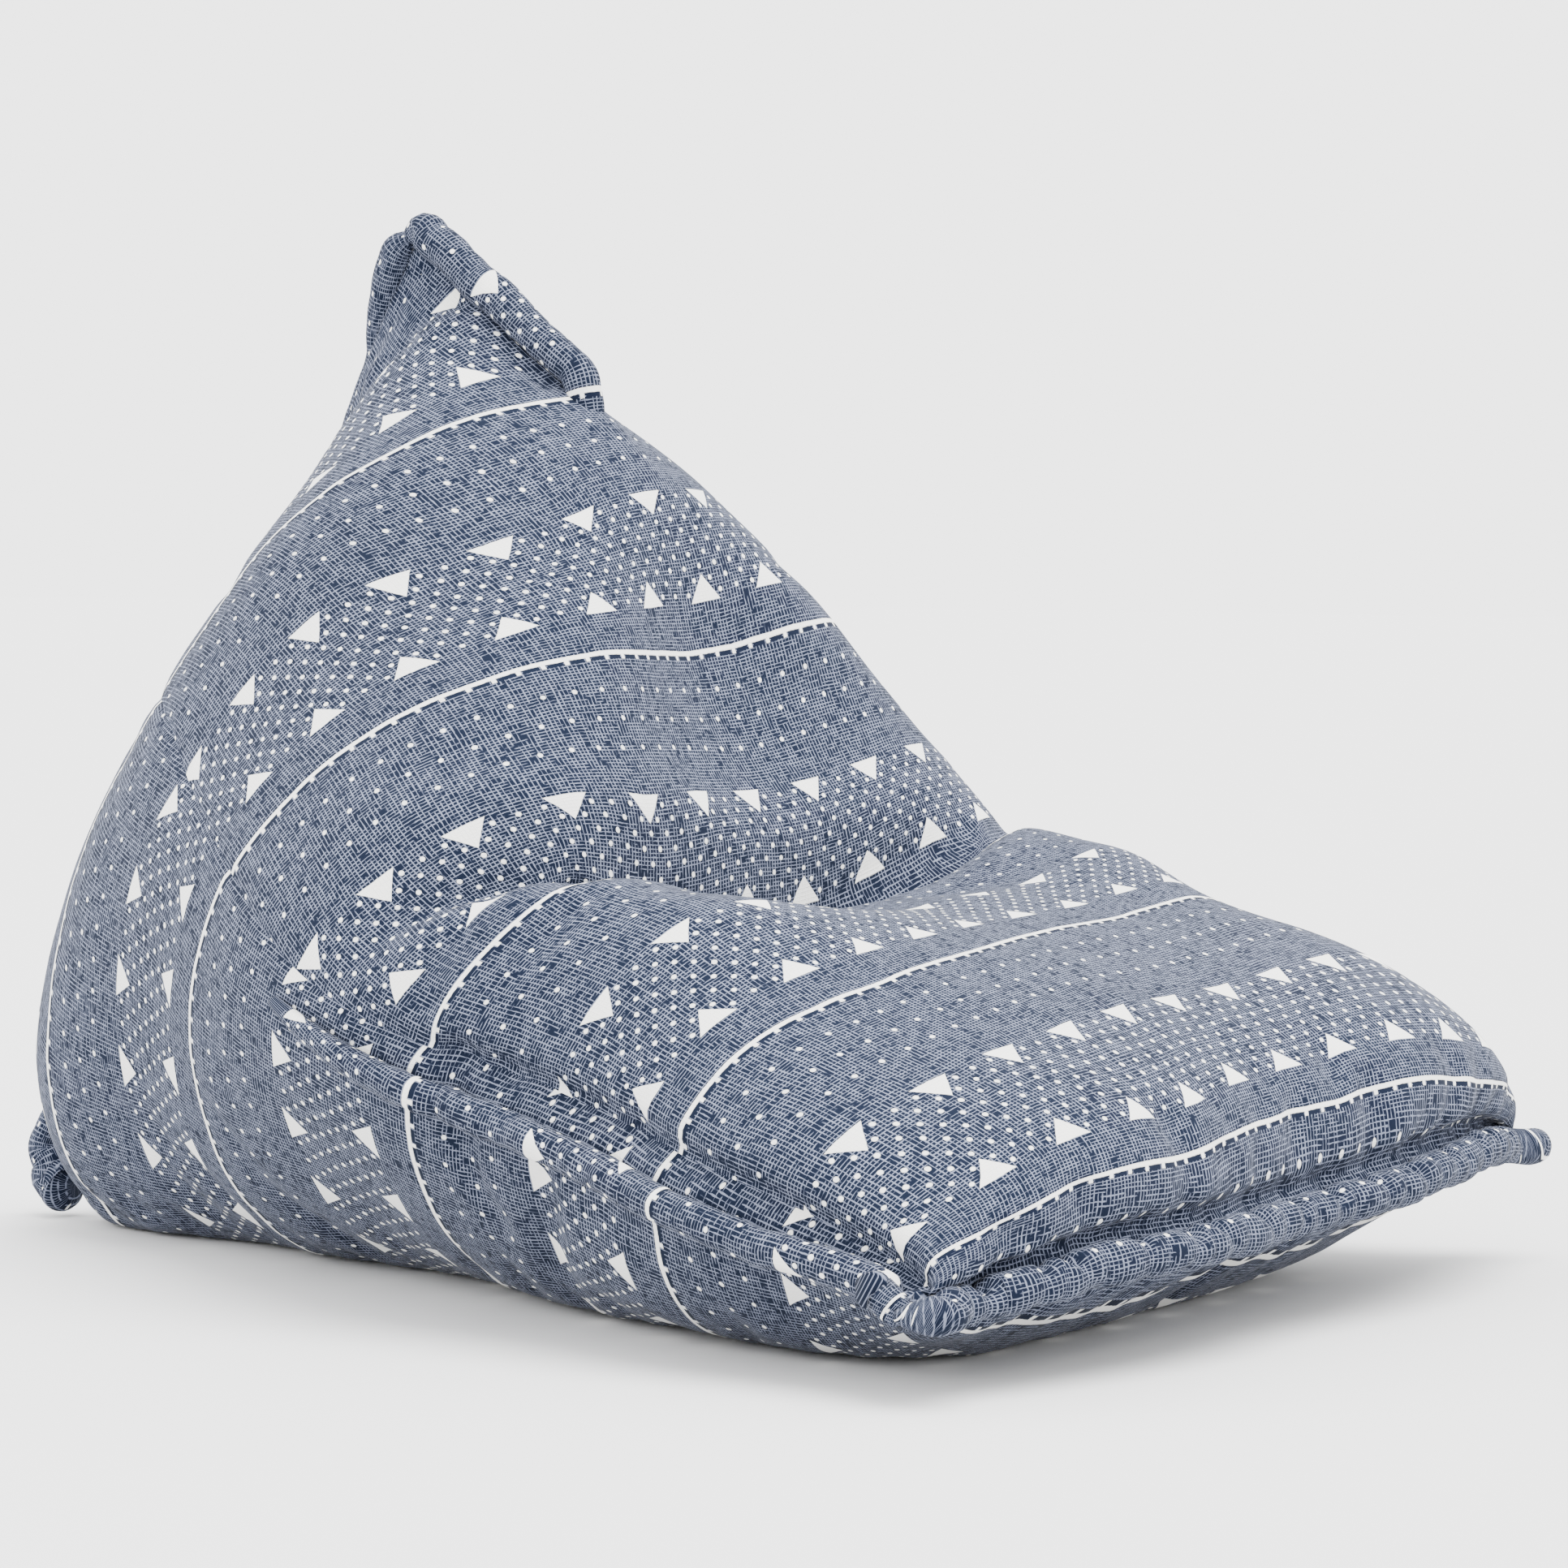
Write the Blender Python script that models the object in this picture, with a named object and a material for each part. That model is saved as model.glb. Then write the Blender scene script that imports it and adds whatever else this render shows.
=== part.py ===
"""Filled lounger pouf: a cloth tube sewn flat at the front and upright at the rear, with rolled edges.

The front seam lies across, the rear seam stands up, so the filled bag has a broad seat in front and a
peaked backrest behind. Padded rolls run along the front seam, the front part of both side seams, the
rear seam and the top fold next to the peak. Metres, +Z up, the front looks along -Y, x = 0 is the
plane of symmetry and z = 0 is the floor.
"""
import math

import bmesh
import bpy
import numpy as np
from mathutils import Vector
from mathutils.bvhtree import BVHTree

# The bag, section by section from the front seam to the rear seam. cloth_v is the distance along the
# cloth. Each section gives five points of its left half: the top and the base on x = 0, and the
# shoulder, the side seam and the hip at their distance x from the middle.
SECTION_COLUMNS = (
    "cloth_v", "top_y", "top_z", "shoulder_x", "shoulder_y", "shoulder_z", "side_x", "side_y", "side_z",
    "hip_x", "hip_y", "hip_z", "base_y", "base_z")
SECTIONS = (
    (0.00, -0.520, 0.080, 0.215, -0.520, 0.080, 0.425, -0.465, 0.078, 0.215, -0.520, 0.070, -0.520, 0.070),
    (0.07, -0.515, 0.140, 0.225, -0.520, 0.138, 0.405, -0.475, 0.090, 0.215, -0.450, 0.030, -0.455, 0.035),
    (0.19, -0.430, 0.210, 0.270, -0.425, 0.190, 0.380, -0.375, 0.115, 0.240, -0.345, -0.010, -0.350, -0.020),
    (0.31, -0.320, 0.250, 0.265, -0.315, 0.230, 0.360, -0.265, 0.125, 0.260, -0.240, 0.000, -0.235, -0.040),
    (0.43, -0.235, 0.260, 0.250, -0.235, 0.285, 0.335, -0.160, 0.160, 0.240, -0.120, 0.015, -0.115, -0.040),
    (0.55, -0.145, 0.255, 0.230, -0.150, 0.305, 0.330, -0.050, 0.190, 0.205, 0.000, 0.025, 0.000, -0.035),
    (0.67, -0.085, 0.335, 0.225, -0.080, 0.355, 0.315, 0.065, 0.230, 0.180, 0.125, 0.045, 0.110, -0.030),
    (0.79, -0.035, 0.440, 0.180, -0.030, 0.450, 0.260, 0.170, 0.290, 0.160, 0.245, 0.055, 0.225, -0.020),
    (0.91, -0.005, 0.545, 0.150, 0.055, 0.515, 0.190, 0.265, 0.345, 0.140, 0.355, 0.100, 0.335, -0.020),
    (1.03, 0.055, 0.615, 0.115, 0.155, 0.570, 0.125, 0.345, 0.400, 0.110, 0.465, 0.135, 0.450, -0.015),
    (1.12, 0.120, 0.668, 0.065, 0.220, 0.590, 0.070, 0.385, 0.400, 0.060, 0.505, 0.180, 0.515, 0.010),
    (1.22, 0.205, 0.735, 0.005, 0.270, 0.590, 0.005, 0.380, 0.405, 0.005, 0.485, 0.225, 0.555, 0.050),
)
CLOTH_LENGTH = 1.22

# The table is measured from a point near the middle of the bag: this moves the whole box onto the origin.
FRAME_SHIFT_Y = -0.017

# How finely the bag is cut into faces: rows along the cloth and columns from top to side and side to base.
ROWS = 50
QUARTER_COLUMNS = 15
SECTION_STEPS = 160

# The top of the sections changes from a smooth crown on the seat to a ridge at the peak.
RIDGE_FROM_V = 0.75
RIDGE_FULL_V = 1.05

# The underside flattens on the floor over this height.
FLOOR_BLEND = 0.015

# Rolled edges: each lies against the bag with a small gap and closes in a dome at its free ends.
ROLL_RADIUS = 0.014
SIDE_ROLL_RADIUS = 0.013
ROLL_GAP = 0.0004
ROLL_STEP = 0.012
ROLL_TIP_SHARE = 0.45
DOME_STEPS = (0.12, 0.40, 0.75)
SEAT_REACH = 0.06
SEAT_HALVINGS = 24
SEAM_SAMPLES = 60

# Front roll: gathered into puckers whose spacing drifts a little along the seam.
FRONT_ROLL_OVERHANG = 0.006
FRONT_PUCKER_DEPTH = 0.0012
FRONT_PUCKER_PITCH = 0.043
FRONT_PUCKER_DRIFT = 0.17
FRONT_DRIFT_TURN = 19.0

# Side rolls: from the front corner, then a little under the side seam, fading out below the backrest.
SIDE_ROLL_FROM_V = 0.055
SIDE_ROLL_TO_V = 0.68
SIDE_ROLL_DROP_BY_V = 0.20
SIDE_ROLL_FADE = 0.16
SIDE_ROLL_END_RADIUS = 0.004

# Top roll: over the peak and down the top fold. Back roll: down the rear seam to a wider foot.
TOP_ROLL_TO_V = 1.03
TOP_ROLL_OVERHANG = 0.006
TOP_ROLL_FADE = 0.05
TOP_ROLL_END_RADIUS = 0.007
BACK_ROLL_START = 0.014
FOOT_RADIUS = 0.018
FOOT_Y = 0.574
FOOT_Z = 0.0225
FOOT_TUCK = 0.020
FOOT_WIDENS_OVER = 0.072
FOOT_OUTWARD = (0.0, 1.0, -0.2)

COVER_COLOUR = (0.150, 0.200, 0.330, 1.0)
EDGE_COLOUR = (0.110, 0.150, 0.265, 1.0)
CLOTH_ROUGHNESS = 0.92


def clear_scene():
    """Remove what the new file holds."""
    for item in list(bpy.data.objects):
        bpy.data.objects.remove(item)


def cloth_material(name, colour):
    """A matt woven cloth."""
    material = bpy.data.materials.new(name)
    material.use_nodes = True
    shader = material.node_tree.nodes["Principled BSDF"]
    shader.inputs["Base Color"].default_value = colour
    shader.inputs["Roughness"].default_value = CLOTH_ROUGHNESS
    shader.inputs["Metallic"].default_value = 0.0
    return material


def spline(knots, values, places, level_start=False, level_end=False):
    """Cubic spline through values at knots; an end is natural, or level where asked."""
    knots = np.asarray(knots, float)
    values = np.asarray(values, float)
    count = len(knots)
    step = np.diff(knots)
    slope = np.diff(values, axis=0) / step[:, None]
    matrix = np.zeros((count, count))
    right = np.zeros_like(values)
    for i in range(1, count - 1):
        matrix[i, i - 1] = step[i - 1]
        matrix[i, i] = 2 * (step[i - 1] + step[i])
        matrix[i, i + 1] = step[i]
        right[i] = 6 * (slope[i] - slope[i - 1])
    matrix[0, 0] = matrix[-1, -1] = 1.0
    if level_start:
        matrix[0, :2] = 2 * step[0], step[0]
        right[0] = 6 * slope[0]
    if level_end:
        matrix[-1, -2:] = step[-1], 2 * step[-1]
        right[-1] = -6 * slope[-1]
    bend = np.linalg.solve(matrix, right)
    places = np.asarray(places, float)
    cell = np.clip(np.searchsorted(knots, places, side="right") - 1, 0, count - 2)
    width = step[cell][:, None]
    a = (knots[cell + 1] - places)[:, None] / width
    b = 1.0 - a
    return (a * values[cell] + b * values[cell + 1]
            + ((a ** 3 - a) * bend[cell] + (b ** 3 - b) * bend[cell + 1]) * width ** 2 / 6)


def rest_on_floor(height):
    """Heights under the floor become 0, with a soft bend next to it."""
    blend = (height + FLOOR_BLEND) ** 2 / (4 * FLOOR_BLEND)
    return np.where(height < -FLOOR_BLEND, 0.0, np.where(height > FLOOR_BLEND, height, blend))


def half_section(cloth_v):
    """Left half of the bag's section at cloth_v, from top to base, in even steps between the seams."""
    row = spline([r[0] for r in SECTIONS], [r[1:] for r in SECTIONS], [cloth_v])[0]
    size = dict(zip(SECTION_COLUMNS[1:], row))
    x = np.array([0.0, -size["shoulder_x"], -size["side_x"], -size["hip_x"], 0.0])
    y = [size["top_y"], size["shoulder_y"], size["side_y"], size["hip_y"], size["base_y"]]
    z = [size["top_z"], size["shoulder_z"], size["side_z"], size["hip_z"], size["base_z"]]
    knots = np.arange(5)
    fine = np.linspace(0, knots[-1], SECTION_STEPS + 1)
    ridge = min(max((cloth_v - RIDGE_FROM_V) / (RIDGE_FULL_V - RIDGE_FROM_V), 0.0), 1.0)
    outline = np.column_stack([y, z])
    smooth = spline(knots, outline, fine, level_start=True, level_end=True)
    peaked = spline(knots, outline, fine, level_end=True)
    flat = smooth * (1 - ridge) + peaked * ridge
    curve = np.column_stack([spline(knots, x[:, None], fine)[:, 0], flat[:, 0], rest_on_floor(flat[:, 1])])
    curve[:, 0] = np.minimum(curve[:, 0], 0.0)
    curve[[0, -1], 0] = 0.0
    middle = len(fine) // 2
    return np.concatenate([even_points(curve[:middle + 1])[:-1], even_points(curve[middle:])])


def even_points(curve):
    """The curve again, with QUARTER_COLUMNS even steps along its length."""
    length = np.concatenate([[0.0], np.cumsum(np.linalg.norm(np.diff(curve, axis=0), axis=1))])
    wanted = np.linspace(0.0, length[-1], QUARTER_COLUMNS + 1)
    return np.column_stack([np.interp(wanted, length, curve[:, axis]) for axis in range(3)])


def bag_rows():
    """Half sections from the front seam to the rear seam, in their place in the frame."""
    rows = np.array([half_section(v) for v in np.linspace(0.0, CLOTH_LENGTH, ROWS + 1)])
    rows[:, :, 1] += FRAME_SHIFT_Y
    return rows


def mesh_object(name, vertices, faces, material, collection):
    """One closed body with its faces turned out."""
    mesh = bpy.data.meshes.new(name)
    mesh.from_pydata([tuple(v) for v in vertices], [], faces)
    shape = bmesh.new()
    shape.from_mesh(mesh)
    bmesh.ops.recalc_face_normals(shape, faces=shape.faces)
    shape.to_mesh(mesh)
    shape.free()
    mesh.shade_smooth()
    mesh.materials.append(material)
    item = bpy.data.objects.new(name, mesh)
    collection.objects.link(item)
    return item


def build_bag(rows, material, collection):
    """The filled bag: a loft through the sections, closed along both end seams."""
    half = rows.shape[1]
    around = 2 * (half - 1)
    right = rows[:, -2:0:-1] * np.array([-1.0, 1.0, 1.0])
    rings = np.concatenate([rows, right], axis=1)
    vertices = rings.reshape(-1, 3)
    faces = []
    for i in range(ROWS):
        for k in range(around):
            near = i * around
            far = near + around
            after = (k + 1) % around
            faces.append((near + k, near + after, far + after, far + k))
    side = QUARTER_COLUMNS
    for turn in (1, -1):
        for k in range(side):
            top = [turn * k % around, turn * (k + 1) % around]
            base = [turn * (half - 1 - k - 1) % around, turn * (half - 1 - k) % around]
            corners = list(dict.fromkeys(top + base))
            faces.append(tuple(corners))
    last = ROWS * around
    for k in range(half - 1):
        left = [last + k, last + k + 1]
        mirror = [last + (-k - 1) % around, last + (-k) % around]
        corners = list(dict.fromkeys(left + mirror))
        faces.append(tuple(corners))
    return mesh_object("bag_body", vertices, faces, material, collection)


def even_path(points, step):
    """A path again, with even steps of about the given length."""
    points = np.asarray(points, float)
    length = np.concatenate([[0.0], np.cumsum(np.linalg.norm(np.diff(points, axis=0), axis=1))])
    count = max(int(round(length[-1] / step)), 2)
    wanted = np.linspace(0.0, length[-1], count + 1)
    return np.column_stack([np.interp(wanted, length, points[:, axis]) for axis in range(3)]), wanted


def rounded_ends(along, radius, start=True, end=True):
    """Radii that close like a dome within one radius of each rounded end."""
    radii = np.full(len(along), 1.0) * radius
    for wanted, distance in ((start, along), (end, along[-1] - along)):
        if wanted:
            inside = np.clip(1.0 - distance / radius, 0.0, 1.0)
            dome = np.sqrt(np.clip(1.0 - inside ** 2, ROLL_TIP_SHARE ** 2, 1.0))
            radii = radii * dome
    return radii


def with_end_steps(path, along, radius):
    """Adds a step close to each end, so that a dome has points enough."""
    extra = np.array(DOME_STEPS) * radius
    wanted = np.unique(np.concatenate([along, extra, along[-1] - extra]))
    return np.column_stack([np.interp(wanted, along, path[:, axis]) for axis in range(3)]), wanted


def seat_on_bag(points, outward, radii, bag_tree):
    """Moves each point out along its own direction until its roll clears the bag by the gap."""
    seated = []
    for point, direction, radius in zip(points, outward, radii):
        direction = Vector(direction).normalized()
        low = 0.0
        high = SEAT_REACH
        for _ in range(SEAT_HALVINGS):
            middle = (low + high) / 2
            distance = bag_tree.find_nearest(Vector(point) + direction * middle)[3]
            if distance < radius + ROLL_GAP:
                low = middle
            else:
                high = middle
        seated.append(Vector(point) + direction * high)
    return np.array(seated)


def build_roll(name, points, radii, material, collection):
    """A padded roll: a tube along the points, with its own radius at each."""
    curve = bpy.data.curves.new(name, "CURVE")
    curve.dimensions = "3D"
    curve.bevel_depth = 1.0
    curve.bevel_resolution = 3
    curve.use_fill_caps = True
    line = curve.splines.new("POLY")
    line.points.add(len(points) - 1)
    for place, point, radius in zip(line.points, points, radii):
        place.co = (*point, 1.0)
        place.radius = radius
    line.use_smooth = True
    curve.materials.append(material)
    item = bpy.data.objects.new(name, curve)
    collection.objects.link(item)
    return item


def front_roll(rows, bag_tree, material, collection):
    """Across the front seam from corner to corner, gathered into small puckers."""
    left = (rows[0, :QUARTER_COLUMNS + 1] + rows[0, :QUARTER_COLUMNS - 1:-1]) / 2
    right = left[1:] * np.array([-1.0, 1.0, 1.0])
    seam = np.concatenate([left[::-1], right])
    tip = (seam[0] - seam[1]) / np.linalg.norm(seam[0] - seam[1]) * FRONT_ROLL_OVERHANG
    seam = np.concatenate([[seam[0] + tip], seam, [seam[-1] + tip * np.array([-1.0, 1.0, 1.0])]])
    path, along = even_path(seam, ROLL_STEP)
    path, along = with_end_steps(path, along, ROLL_RADIUS)
    turn = 2 * math.pi * (along / FRONT_PUCKER_PITCH + FRONT_PUCKER_DRIFT * np.sin(along * FRONT_DRIFT_TURN))
    radii = rounded_ends(along, ROLL_RADIUS) + FRONT_PUCKER_DEPTH * (np.cos(turn) - 1) / 2
    outward = np.tile([0.0, -1.0, 0.0], (len(path), 1))
    centres = seat_on_bag(path, outward, radii, bag_tree)
    return build_roll("front_rolled_edge", centres, radii, material, collection)


def side_roll(name, mirror, rows, bag_tree, material, collection):
    """Along a side seam from the front corner, and fading out below the backrest."""
    v = np.linspace(0.0, CLOTH_LENGTH, ROWS + 1)
    wanted = np.linspace(SIDE_ROLL_FROM_V, SIDE_ROLL_TO_V, SEAM_SAMPLES)
    drop = np.clip((v - SIDE_ROLL_FROM_V) / (SIDE_ROLL_DROP_BY_V - SIDE_ROLL_FROM_V), 0.0, 1.0)[:, None]
    line = rows[:, QUARTER_COLUMNS] * (1 - drop) + rows[:, QUARTER_COLUMNS + 1] * drop
    seam = np.column_stack([np.interp(wanted, v, line[:, axis]) for axis in range(3)])
    across = rows[:, QUARTER_COLUMNS - 2] - rows[:, QUARTER_COLUMNS + 2]
    across = np.column_stack([np.interp(wanted, v, across[:, axis]) for axis in range(3)])
    normal = np.cross(across, np.gradient(seam, axis=0))
    normal *= np.where(normal[:, :1] > 0, -1.0, 1.0)
    path, along = even_path(seam, ROLL_STEP)
    path, along = with_end_steps(path, along, SIDE_ROLL_RADIUS)
    share = along / along[-1] * (len(seam) - 1)
    outward = np.column_stack([np.interp(share, np.arange(len(seam)), normal[:, axis]) for axis in range(3)])
    fade = np.clip((along[-1] - along) / SIDE_ROLL_FADE, 0.0, 1.0)
    full = SIDE_ROLL_END_RADIUS + (SIDE_ROLL_RADIUS - SIDE_ROLL_END_RADIUS) * np.sin(fade * math.pi / 2)
    radii = rounded_ends(along, SIDE_ROLL_RADIUS, end=False) * full / SIDE_ROLL_RADIUS
    flip = np.array([-1.0 if mirror else 1.0, 1.0, 1.0])
    centres = seat_on_bag(path, outward, radii, bag_tree) * flip
    return build_roll(name, centres, radii, material, collection)


def top_roll(rows, bag_tree, material, collection):
    """Over the peak and forward along the top fold."""
    v = np.linspace(0.0, CLOTH_LENGTH, ROWS + 1)
    wanted = np.linspace(CLOTH_LENGTH, TOP_ROLL_TO_V, SEAM_SAMPLES)
    seam = np.column_stack([np.interp(wanted, v, rows[:, 0, axis]) for axis in range(3)])
    back = (seam[0] - seam[-1]) / np.linalg.norm(seam[0] - seam[-1]) * TOP_ROLL_OVERHANG
    path, along = even_path(np.concatenate([[seam[0] + back], seam]), ROLL_STEP)
    path, along = with_end_steps(path, along, ROLL_RADIUS)
    run = np.gradient(path, axis=0)
    outward = np.column_stack([np.zeros(len(run)), run[:, 2], -run[:, 1]])
    fade = np.clip((along[-1] - along) / TOP_ROLL_FADE, 0.0, 1.0)
    full = TOP_ROLL_END_RADIUS + (ROLL_RADIUS - TOP_ROLL_END_RADIUS) * np.sin(fade * math.pi / 2)
    radii = rounded_ends(along, ROLL_RADIUS) * full / ROLL_RADIUS
    centres = seat_on_bag(path, outward, radii, bag_tree)
    return build_roll("top_rolled_edge", centres, radii, material, collection)


def back_roll(rows, bag_tree, material, collection):
    """Down the rear seam from the peak, its foot turned in under the rear corner."""
    seam = rows[-1] * np.array([0.0, 1.0, 1.0])
    path, along = even_path(seam, ROLL_STEP)
    keep = along >= BACK_ROLL_START
    path = path[keep]
    run = np.gradient(path, axis=0)
    outward = np.column_stack([np.zeros(len(run)), -run[:, 2], run[:, 1]])
    radii = np.full(len(path), ROLL_RADIUS)
    centres = seat_on_bag(path, outward, radii, bag_tree)
    foot = [
        (0.0, FOOT_Y + FRAME_SHIFT_Y, FOOT_Z),
        (0.0, FOOT_Y - FOOT_TUCK + FRAME_SHIFT_Y, FOOT_RADIUS + ROLL_GAP)]
    drop = centres[centres[:, 2] > FOOT_Z + FOOT_RADIUS]
    path, along = even_path(np.concatenate([drop, foot]), ROLL_STEP)
    path, along = with_end_steps(path, along, ROLL_RADIUS)
    widen = np.clip(1.0 - (along[-1] - along) / FOOT_WIDENS_OVER, 0.0, 1.0)
    radii = rounded_ends(along, ROLL_RADIUS) * (1.0 + widen * (FOOT_RADIUS / ROLL_RADIUS - 1.0))
    outward = np.tile(FOOT_OUTWARD, (len(path), 1))
    centres = seat_on_bag(path, outward, radii, bag_tree)
    return build_roll("back_rolled_edge", centres, radii, material, collection)


def main():
    """Build the pouf."""
    clear_scene()
    collection = bpy.data.collections.new("lounger_pouf")
    bpy.context.scene.collection.children.link(collection)
    cover = cloth_material("cover_cloth", COVER_COLOUR)
    edge = cloth_material("edge_cloth", EDGE_COLOUR)
    rows = bag_rows()
    bag = build_bag(rows, cover, collection)
    shape = bmesh.new()
    shape.from_mesh(bag.data)
    bag_tree = BVHTree.FromBMesh(shape)
    shape.free()
    front_roll(rows, bag_tree, edge, collection)
    side_roll("left_rolled_edge", False, rows, bag_tree, edge, collection)
    side_roll("right_rolled_edge", True, rows, bag_tree, edge, collection)
    top_roll(rows, bag_tree, edge, collection)
    back_roll(rows, bag_tree, edge, collection)


main()
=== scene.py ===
"""Looks of the lounger pouf: the filled bag in its printed slub weave, its padded rolled edges and the stage.

The bag is lofted through the same named sections as the CAD part, swells and wrinkles in a short cloth
simulation, and then gets its creases, seam grooves and puckers. Every piece keeps the flat layout of its
cloth in a UV map in metres, and the woven pattern is worked out from that map alone.
"""

import math

import bpy
import numpy as np
from bpy.props import FloatProperty, FloatVectorProperty, PointerProperty
from bpy.types import Operator, Panel, PropertyGroup
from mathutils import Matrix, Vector, noise
from mathutils.bvhtree import BVHTree


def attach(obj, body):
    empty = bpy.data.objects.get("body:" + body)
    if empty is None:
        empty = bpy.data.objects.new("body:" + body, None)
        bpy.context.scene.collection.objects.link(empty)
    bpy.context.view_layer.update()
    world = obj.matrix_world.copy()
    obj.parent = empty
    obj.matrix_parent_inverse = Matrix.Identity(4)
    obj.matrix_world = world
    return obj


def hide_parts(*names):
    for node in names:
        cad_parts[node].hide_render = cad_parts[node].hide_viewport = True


bl_info = {
    "name": "Lounger pouf",
    "version": (1, 0, 0),
    "blender": (4, 5, 0),
    "location": "3D View > Sidebar > Pouf",
    "description": "Builds the cloth, the rolled edges and the stage of a filled lounger pouf",
    "category": "Object",
}

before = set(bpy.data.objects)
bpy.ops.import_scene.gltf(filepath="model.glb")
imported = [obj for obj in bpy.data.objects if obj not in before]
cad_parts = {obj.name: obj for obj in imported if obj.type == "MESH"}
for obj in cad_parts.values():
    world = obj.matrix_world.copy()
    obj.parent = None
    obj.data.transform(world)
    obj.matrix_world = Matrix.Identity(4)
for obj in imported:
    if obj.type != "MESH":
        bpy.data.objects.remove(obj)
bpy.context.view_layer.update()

# The bag, section by section from the front seam to the rear seam. cloth_v is the distance along the
# cloth. Each section gives five points of its left half: the top and the base on x = 0, and the
# shoulder, the side seam and the hip at their distance x from the middle.
SECTION_COLUMNS = (
    "cloth_v", "top_y", "top_z", "shoulder_x", "shoulder_y", "shoulder_z", "side_x", "side_y", "side_z",
    "hip_x", "hip_y", "hip_z", "base_y", "base_z")
SECTIONS = (
    (0.00, -0.520, 0.080, 0.215, -0.520, 0.080, 0.425, -0.465, 0.078, 0.215, -0.520, 0.070, -0.520, 0.070),
    (0.07, -0.515, 0.140, 0.225, -0.520, 0.138, 0.405, -0.475, 0.090, 0.215, -0.450, 0.030, -0.455, 0.035),
    (0.19, -0.430, 0.210, 0.270, -0.425, 0.190, 0.380, -0.375, 0.115, 0.240, -0.345, -0.010, -0.350, -0.020),
    (0.31, -0.320, 0.250, 0.265, -0.315, 0.230, 0.360, -0.265, 0.125, 0.260, -0.240, 0.000, -0.235, -0.040),
    (0.43, -0.235, 0.260, 0.250, -0.235, 0.285, 0.335, -0.160, 0.160, 0.240, -0.120, 0.015, -0.115, -0.040),
    (0.55, -0.145, 0.255, 0.230, -0.150, 0.305, 0.330, -0.050, 0.190, 0.205, 0.000, 0.025, 0.000, -0.035),
    (0.67, -0.085, 0.335, 0.225, -0.080, 0.355, 0.315, 0.065, 0.230, 0.180, 0.125, 0.045, 0.110, -0.030),
    (0.79, -0.035, 0.440, 0.180, -0.030, 0.450, 0.260, 0.170, 0.290, 0.160, 0.245, 0.055, 0.225, -0.020),
    (0.91, -0.005, 0.545, 0.150, 0.055, 0.515, 0.190, 0.265, 0.345, 0.140, 0.355, 0.100, 0.335, -0.020),
    (1.03, 0.055, 0.615, 0.115, 0.155, 0.570, 0.125, 0.345, 0.400, 0.110, 0.465, 0.135, 0.450, -0.015),
    (1.12, 0.120, 0.668, 0.065, 0.220, 0.590, 0.070, 0.385, 0.400, 0.060, 0.505, 0.180, 0.515, 0.010),
    (1.22, 0.205, 0.735, 0.005, 0.270, 0.590, 0.005, 0.380, 0.405, 0.005, 0.485, 0.225, 0.555, 0.050),
)
CLOTH_LENGTH = 1.22
FRAME_SHIFT_Y = -0.017
SECTION_STEPS = 160
RIDGE_FROM_V = 0.75
RIDGE_FULL_V = 1.05
FLOOR_BLEND = 0.015

# The loft is cut this finely before one subdivision halves every step.
ROWS = 122
ROW_V = np.linspace(0.0, CLOTH_LENGTH, ROWS + 1)
QUARTER_COLUMNS = 36
AROUND = 4 * QUARTER_COLUMNS
MIRROR = np.array([-1.0, 1.0, 1.0])
END_SEAM_CREASE = 0.8

# The lower panel was sewn on a little further back than the upper one, so its pattern steps at the seam.
LOWER_PANEL_STEP = -0.004

# Where the filling has settled unevenly: a soft move of everything near a point (metres). Each row is the
# point's x, y and z, its reach, and the move in x, y and z.
SETTLING = (
    (-0.42, -0.490, 0.075, 0.130, 0.004, 0.000, -0.022),
    (0.43, -0.490, 0.075, 0.110, -0.012, 0.008, -0.004),
    (0.24, -0.520, 0.080, 0.190, 0.000, 0.000, 0.018),
    (0.27, -0.400, 0.220, 0.115, 0.004, 0.000, 0.024),
    (-0.38, -0.265, 0.125, 0.090, 0.000, 0.000, 0.015),
    (-0.165, -0.160, 0.290, 0.075, 0.000, 0.000, -0.034),
    (0.16, -0.150, 0.290, 0.075, 0.000, 0.000, 0.009),
    (0.03, -0.228, 0.262, 0.055, 0.000, 0.000, 0.009),
    (0.27, -0.090, 0.350, 0.070, 0.006, -0.006, 0.008),
    (0.00, 0.190, 0.700, 0.090, 0.000, 0.008, 0.005),
    (0.00, 0.245, 0.630, 0.075, 0.000, 0.011, 0.004),
    (0.00, 0.090, 0.640, 0.060, 0.000, 0.004, -0.004),
    (-0.08, 0.530, 0.060, 0.110, 0.000, 0.018, 0.000),
)

# Where the cloth lies bunched or stretched: a soft shift of the pattern along each panel (metres). Each row
# is the place across and along the cloth, its reach and the shift.
UPPER_DRIFT = (
    (-0.18, 0.810, 0.110, 0.026),
    (-0.12, 0.910, 0.080, 0.014),
    (-0.28, 1.000, 0.100, -0.022),
    (-0.26, 0.640, 0.080, 0.012),
    (-0.23, 0.330, 0.100, 0.018),
    (-0.11, 0.310, 0.070, 0.010),
    (0.20, 0.310, 0.090, -0.014),
    (-0.03, 1.150, 0.080, -0.022),
    (0.26, 0.080, 0.100, 0.014),
    (-0.16, 0.090, 0.080, 0.013),
    (-0.43, 0.080, 0.060, -0.024),
    (0.20, 0.535, 0.060, 0.014),
    (-0.42, 1.010, 0.090, -0.016),
)
LOWER_DRIFT = (
    (-0.17, 1.010, 0.100, 0.014),
    (-0.36, 1.030, 0.100, -0.018),
)

# The gathered front edge takes up this much of each panel's cloth, which fades out this far behind it.
FRONT_TAKE_UP = 0.020
FRONT_TAKE_UP_TO_V = 0.062
UNDER_TAKE_UP = 0.030
UNDER_TAKE_UP_TO_V = 0.120
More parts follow.
